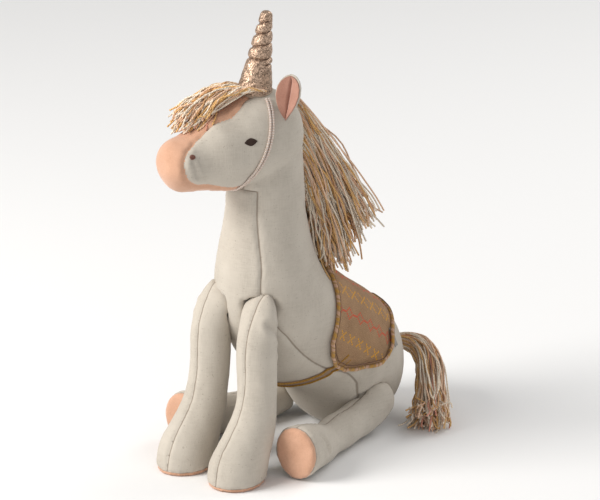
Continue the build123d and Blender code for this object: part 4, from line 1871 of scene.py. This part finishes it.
# ---- blanket ---------------------------------------------------------------------------------------------
@dataclass
class Blanket:
    """A knitted blanket draped over the back, with piping, a girth strap and a blank label."""

    skin: Surfaces
    hem: tuple[tuple[float, float], ...] = ((-77, 112), (-74.5, 98), (-68, 87.5), (-56, 80), (-30, 74),
                                            (-8, 72.5), (3, 75.5), (10.5, 83), (13.5, 94))
    ridge: tuple[tuple[float, float], ...] = ((-48, 184), (-44, 180), (-37, 174), (-26, 164), (0, 144),
                                              (22, 127), (32, 119), (40, 112), (46, 106))
    stations: tuple[float, ...] = (0, 0.06, 0.13, 0.24, 0.5, 0.76, 0.87, 0.94, 1)
    thickness: float = 2.2 * MM
    cad_thickness: float = 2.4 * MM
    lift: float = 1.5 * MM
    along: int = 90
    around: int = 110

    def section(self, share: float) -> tuple[Vector, Vector]:
        """The hem point, seen from the side, and the direction up to the ridge at a share of the length.

        Args:
            share: Share of the length, from 0 to 1.

        Returns:
            The hem point and the direction.
        """
        hem = Vector((0, *(np.interp(share, self.stations, [p[a] for p in self.hem]) * MM for a in (0, 1))))
        ridge = Vector((0,
                        *(np.interp(share, self.stations, [p[a] for p in self.ridge]) * MM for a in (0, 1))))
        return hem, (ridge - hem).normalized()

    def point(self, share: float, turn: float) -> tuple[Vector, Vector]:
        """A point of the blanket's underside: turn runs from -1 at the right hem over 0 at the ridge to 1.

        Args:
            share: Share of the length, from 0 to 1.
            turn: How far round, from -1 to 1.

        Returns:
            The point and the outward direction there.
        """
        hem, up = self.section(share)
        angle = turn * math.pi / 2
        direction = up * math.cos(angle) + Vector((1, 0, 0)) * math.sin(angle)
        hit, normal = surface_point(self.skin.body, hem, direction, 0.16)
        flare = max(abs(turn) - 0.72, 0) / 0.28
        ripple = 1.1 * MM * math.sin(share * 19 + turn) * flare**1.5 + 1.6 * MM * flare**2
        return hit + normal * (self.lift + ripple), normal

    def cloth(self, material: bpy.types.Material) -> tuple[bpy.types.Object, list[list[Vector]], float,
                                                           float]:
        """The knitted cloth, its grid of points and its flat size.

        Args:
            material: The finish it is given.

        Returns:
            The cloth, its grid, its width and its length.
        """
        grid = []
        for i in range(self.along + 1):
            share = smooth_ends(i / self.along)
            grid.append([self.point(share, 2 * j / self.around - 1)[0] for j in range(self.around + 1)])
        for _ in range(4):
            grid = averaged(grid)
        across = np.zeros((self.along + 1, self.around + 1))
        along = np.zeros_like(across)
        middle = self.around // 2
        for i in range(self.along + 1):
            for j in range(middle + 1, self.around + 1):
                across[i, j] = across[i, j - 1] + (grid[i][j] - grid[i][j - 1]).length
            for j in range(middle - 1, -1, -1):
                across[i, j] = across[i, j + 1] - (grid[i][j] - grid[i][j + 1]).length
        for j in range(self.around + 1):
            for i in range(1, self.along + 1):
                along[i, j] = along[i - 1, j] + (grid[i][j] - grid[i - 1][j]).length
        bm = bmesh.new()
        verts = [[bm.verts.new(p) for p in row] for row in grid]
        for low, high in zip(verts, verts[1:]):
            for j in range(self.around):
                bm.faces.new((low[j], high[j], high[j + 1], low[j + 1]))
        bm.verts.index_update()
        mesh = bpy.data.meshes.new("saddle_blanket_knit")
        bm.to_mesh(mesh)
        bm.free()
        flat = mesh.attributes.new("flat", "FLOAT_VECTOR", "POINT")
        flat.data.foreach_set("vector", np.stack([along.ravel(), across.ravel(), np.zeros(across.size)],
                                                 axis=1).astype(np.float32).ravel())
        made = add_object("saddle_blanket_knit", mesh, material)
        wall = made.modifiers.new("wall", "SOLIDIFY")
        wall.thickness = self.thickness
        wall.offset = 1
        wide = float(np.max(across[:, -1] - across[:, 0]))
        return applied(made), grid, wide, float(along.max())

    def outline(self, grid: list[list[Vector]]) -> list[Vector]:
        """The blanket's edge as a closed line of points."""
        edge = [row[-1] for row in grid] + grid[-1][-2::-1] + [row[0] for row in grid[-2::-1]] + grid[0][1:-1]
        return edge

    def build(self, knit: bpy.types.Material, piping: bpy.types.Material, thread: bpy.types.Material) -> None:
        """Makes the cloth and its edging.

        Args:
            knit: The patterned knit.
            piping: The edge's cord.
            thread: The stitching thread.
        """
        cloth, grid, wide, length = self.cloth(knit)
        edge = self.outline(grid)
        cord = TubeLines("blanket_piping", 1.75 * MM, 8, closed=True)
        raised = []
        for point in edge:
            near, normal, _, _ = self.skin.body.find_nearest(point)
            raised.append(point + normal * self.thickness * 0.5)
        cord.add(raised, (0.6, 0.4, 0.2))
        border = cord.build(piping)
        inner = TubeLines("blanket_edge_stitch", 0.55 * MM, 5, closed=True)
        inset = 3
        ring = [grid[i][self.around - inset] for i in range(inset, self.along - inset + 1)]
        ring += grid[self.along - inset][self.around - inset - 1:inset - 1:-1]
        ring += [grid[i][inset] for i in range(self.along - inset - 1, inset - 1, -1)]
        ring += grid[inset][inset + 1:self.around - inset]
        inner.add([p + self.skin.body.find_nearest(p)[1] * (self.thickness + 0.15 * MM) for p in ring],
                  (0.16, 0.08, 0.04))
        stitch = inner.build(thread)
        for piece in (cloth, border, stitch):
            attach(piece, "torso")
        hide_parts("saddle_blanket")
        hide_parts("blanket_binding")
        area = sum(node_volume(node) for node in ("saddle_blanket", "blanket_binding")) / self.cad_thickness
        LOG.info("blanket %.0f by %.0f mm, cut area %.4f m2", wide * 1000, length * 1000, area)


def smooth_ends(share: float) -> float:
    """A share that runs slower near 0 and 1, so that rounded corners get more points."""
    return share - 0.10 * math.sin(2 * math.pi * share)


def averaged(grid: list[list[Vector]]) -> list[list[Vector]]:
    """The grid with each inner point moved towards its neighbours' middle.

    Args:
        grid: Rows of points.

    Returns:
        The new grid.
    """
    made = [row[:] for row in grid]
    for i in range(1, len(grid) - 1):
        for j in range(1, len(grid[0]) - 1):
            near = (grid[i - 1][j] + grid[i + 1][j] + grid[i][j - 1] + grid[i][j + 1]) / 4
            made[i][j] = grid[i][j].lerp(near, 0.5)
    return made


@dataclass
class Girth:
    """The strap under the belly: taupe tape between two stitched mustard edges."""

    skin: Surfaces
    meets: tuple[float, float] = (-60 * MM, 84 * MM)
    slope: float = math.radians(30)
    depth: float = 36 * MM
    reach: float = math.radians(66)
    width: float = 9.0 * MM
    thickness: float = 0.9 * MM
    steps: int = 120

    def line(self, offset: float, rise: float) -> list[Vector]:
        """Points round the belly at an offset across the strap.

        Args:
            offset: Distance across the strap, in metres.
            rise: Height over the skin, in metres.

        Returns:
            The points, in order.
        """
        down = Vector((0, -math.cos(self.slope), -math.sin(self.slope)))
        across = Vector((1, 0, 0)).cross(down)
        centre = Vector((0, *self.meets)) - down * self.depth + across * offset
        points = []
        for i in range(self.steps + 1):
            angle = -self.reach + 2 * self.reach * i / self.steps
            direction = down * math.cos(angle) + Vector((1, 0, 0)) * math.sin(angle)
            hit, normal = surface_point(self.skin.body, centre, direction, 0.14)
            points.append(hit + normal * rise)
        return relaxed(points, 2)

    def build(self, tape: bpy.types.Material, edging: bpy.types.Material) -> None:
        """Makes the tape and its two edges.

        Args:
            tape: The taupe tape.
            edging: The mustard edge.
        """
        rows = [self.line(self.width * (k / 4 - 0.5), 0.6 * MM) for k in range(5)]
        bm = bmesh.new()
        verts = [[bm.verts.new(p) for p in row] for row in rows]
        for low, high in zip(verts, verts[1:]):
            for j in range(self.steps):
                bm.faces.new((low[j], low[j + 1], high[j + 1], high[j]))
        mesh = bpy.data.meshes.new("girth_tape")
        bm.to_mesh(mesh)
        bm.free()
        made = add_object("girth_tape", mesh, tape)
        wall = made.modifiers.new("wall", "SOLIDIFY")
        wall.thickness = self.thickness
        wall.offset = 0
        applied(made)
        edges = TubeLines("girth_edges", 1.4 * MM, 8, flatness=0.7)
        for offset in (-self.width / 2 + 0.9 * MM, self.width / 2 - 0.9 * MM):
            edges.add(self.line(offset, 1.25 * MM))
        trimmed = edges.build(edging)
        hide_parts("girth_strap")
        for piece in (made, trimmed):
            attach(piece, "torso")
        length = sum((b - a).length for a, b in zip(rows[2], rows[2][1:]))
        LOG.info("girth strap %.0f mm", length * 1000)


@dataclass
class Label:
    """A blank folded tape sewn into the blanket's rear edge."""

    skin: Surfaces
    top: tuple[float, float, float] = (57 * MM, 17.5 * MM, 100 * MM)
    length: float = 21 * MM
    width: float = 8.5 * MM

    def build(self, material: bpy.types.Material) -> None:
        """Makes the label, bowed off the skin.

        Args:
            material: The label's cloth.
        """
        bm = bmesh.new()
        rows, columns = 14, 8
        grid = []
        for i in range(rows + 1):
            row = []
            for j in range(columns + 1):
                out = self.width * j / columns
                place = Vector(self.top) + Vector((0, 0.10, -1)) * (self.length * i
                                                                    / rows) + Vector((-0.12, 0.99, 0)) * out
                near, normal, _, _ = self.skin.body.find_nearest(place)
                raised = near + normal * (1.6 * MM + 0.6 * MM * math.sin(out * 400 + i * 0.2))
                row.append(bm.verts.new(raised))
            grid.append(row)
        for low, high in zip(grid, grid[1:]):
            for j in range(columns):
                bm.faces.new((low[j], low[j + 1], high[j + 1], high[j]))
        mesh = bpy.data.meshes.new("blank_label_tape")
        bm.to_mesh(mesh)
        bm.free()
        made = add_object("blank_label_tape", mesh, material)
        wall = made.modifiers.new("wall", "SOLIDIFY")
        wall.thickness = 0.7 * MM
        applied(made)
        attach(made, "torso")
        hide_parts("side_label")


# ---- camera, light and floor ----------------------------------------------------------------------------
@dataclass
class Studio:
    """A pale floor, soft lights and the camera."""

    azimuth: float = 39.5
    elevation: float = 20.0
    distance: float = 4.5
    lens: float = 291.6
    target: tuple[float, float, float] = (0.0, -0.060, 0.200)
    shift_right: float = 3.7 * MM
    shift_up: float = -13.9 * MM
    sensor: float = 36.0
    far_clip: float = 50.0
    light_aim: tuple[float, float, float] = (0.0, -0.06, 0.18)
    floor_reach: float = 25.0
    ambient: float = 0.445

    def camera(self) -> None:
        """Makes the camera and aims it."""
        a, e = math.radians(self.azimuth), math.radians(self.elevation)
        back = Vector((math.sin(a) * math.cos(e), -math.cos(a) * math.cos(e), math.sin(e)))
        right = Vector((math.cos(a), math.sin(a), 0))
        up = back.cross(right)
        aim = Vector(self.target) + right * self.shift_right + up * self.shift_up
        data = bpy.data.cameras.new("camera")
        data.lens = self.lens
        data.sensor_width = self.sensor
        data.clip_end = self.far_clip
        made = bpy.data.objects.new("camera", data)
        facing = back.to_track_quat("Z", "Y").to_matrix().to_4x4()
        made.matrix_world = Matrix.Translation(aim + back * self.distance) @ facing
        bpy.context.scene.collection.objects.link(made)
        bpy.context.scene.camera = made

    def light(self, name: str, place: tuple[float, float, float], size: float, power: float,
              colour: Colour) -> None:
        """Makes one square area light aimed at the toy's chest.

        Args:
            name: The light's name.
            place: Where it stands, in metres.
            size: Its side, in metres.
            power: Its power, in watts.
            colour: Its colour.
        """
        data = bpy.data.lights.new(name, "AREA")
        data.size = size
        data.energy = power
        data.color = colour
        made = bpy.data.objects.new(name, data)
        made.location = place
        made.rotation_euler = (Vector(place) - Vector(self.light_aim)).to_track_quat("Z", "Y").to_euler()
        bpy.context.scene.collection.objects.link(made)

    def build(self) -> None:
        """Makes everything round the toy."""
        self.camera()
        self.light("key", (-0.95, -1.68, 1.5), 1.2, 56, (1.0, 0.975, 0.94))
        self.light("fill", (1.9, -0.9, 0.9), 1.6, 4, (0.98, 0.98, 1.0))
        self.light("rim", (0.4, 1.6, 1.5), 1.2, 16, (1.0, 0.99, 0.97))
        world = bpy.data.worlds.new("studio")
        world.use_nodes = True
        world.node_tree.nodes["Background"].inputs[0].default_value = (1.0, 1.0, 1.0, 1.0)
        world.node_tree.nodes["Background"].inputs[1].default_value = self.ambient
        bpy.context.scene.world = world
        bpy.context.scene.view_settings.view_transform = "Standard"
        bm = bmesh.new()
        bmesh.ops.create_grid(bm, x_segments=2, y_segments=2, size=self.floor_reach)
        mesh = bpy.data.meshes.new("floor")
        bm.to_mesh(mesh)
        bm.free()
        n = Nodes("floor_paint")
        n.shader.inputs["Base Color"].default_value = (0.86, 0.86, 0.86, 1.0)
        floor = add_object("floor", mesh, n.finish(0.9))


def main() -> None:
    """Builds the toy piece by piece."""
    Studio().build()
    linen, peach = LINEN.build(), PEACH.build()
    BodySkin().build(linen, peach)
    for side in Side:
        word = side.word
        FrontLeg(name=f"{word}_front_leg_skin", nodes=(f"{word}_front_leg_stuffing",), side=side,
                 soften=4).build(linen, peach)
        HindLeg(name=f"{word}_hind_leg_skin", nodes=(f"{word}_hind_leg_stuffing",), side=side,
                soften=4).build(linen, peach)
    skin = Surfaces()
    skin.read(("left_side_skin", "right_side_skin", "chest_belly_skin", "face_velour"))
    thread = STITCHING.build()
    trim = HeadTrim(skin)
    trim.eyes(thread)
    trim.elastic(METALLIC_CORD.build())
    Horn(skin).build(ROSE_GOLD.build(), thread, FELT.build())
    pink = EAR_PINK.build()
    for side in Side:
        Ear(side).build(linen, pink)
    hair = HAIR.build()
    Mane("mane_strands", ("mane_yarn",), "head", skin, 420, 11).build(hair)
    Forelock("forelock_strands", ("forelock_yarn",), "forelock", skin, 130, 23, points=18,
             wave=2.6 * MM).build(hair)
    Tail("tail_strands", ("tail_yarn", "tail_binding"), "tail", skin, 190, 31, points=34, wave=2.6 * MM,
         frizz=1.6).build(hair)
    Blanket(skin).build(KNIT.build(), PIPING.build(), thread)
    Girth(skin).build(TAUPE.build(), MUSTARD_TAPE.build())
    Label(skin).build(LABEL_CLOTH.build())


if __name__ == "__main__":
    main()
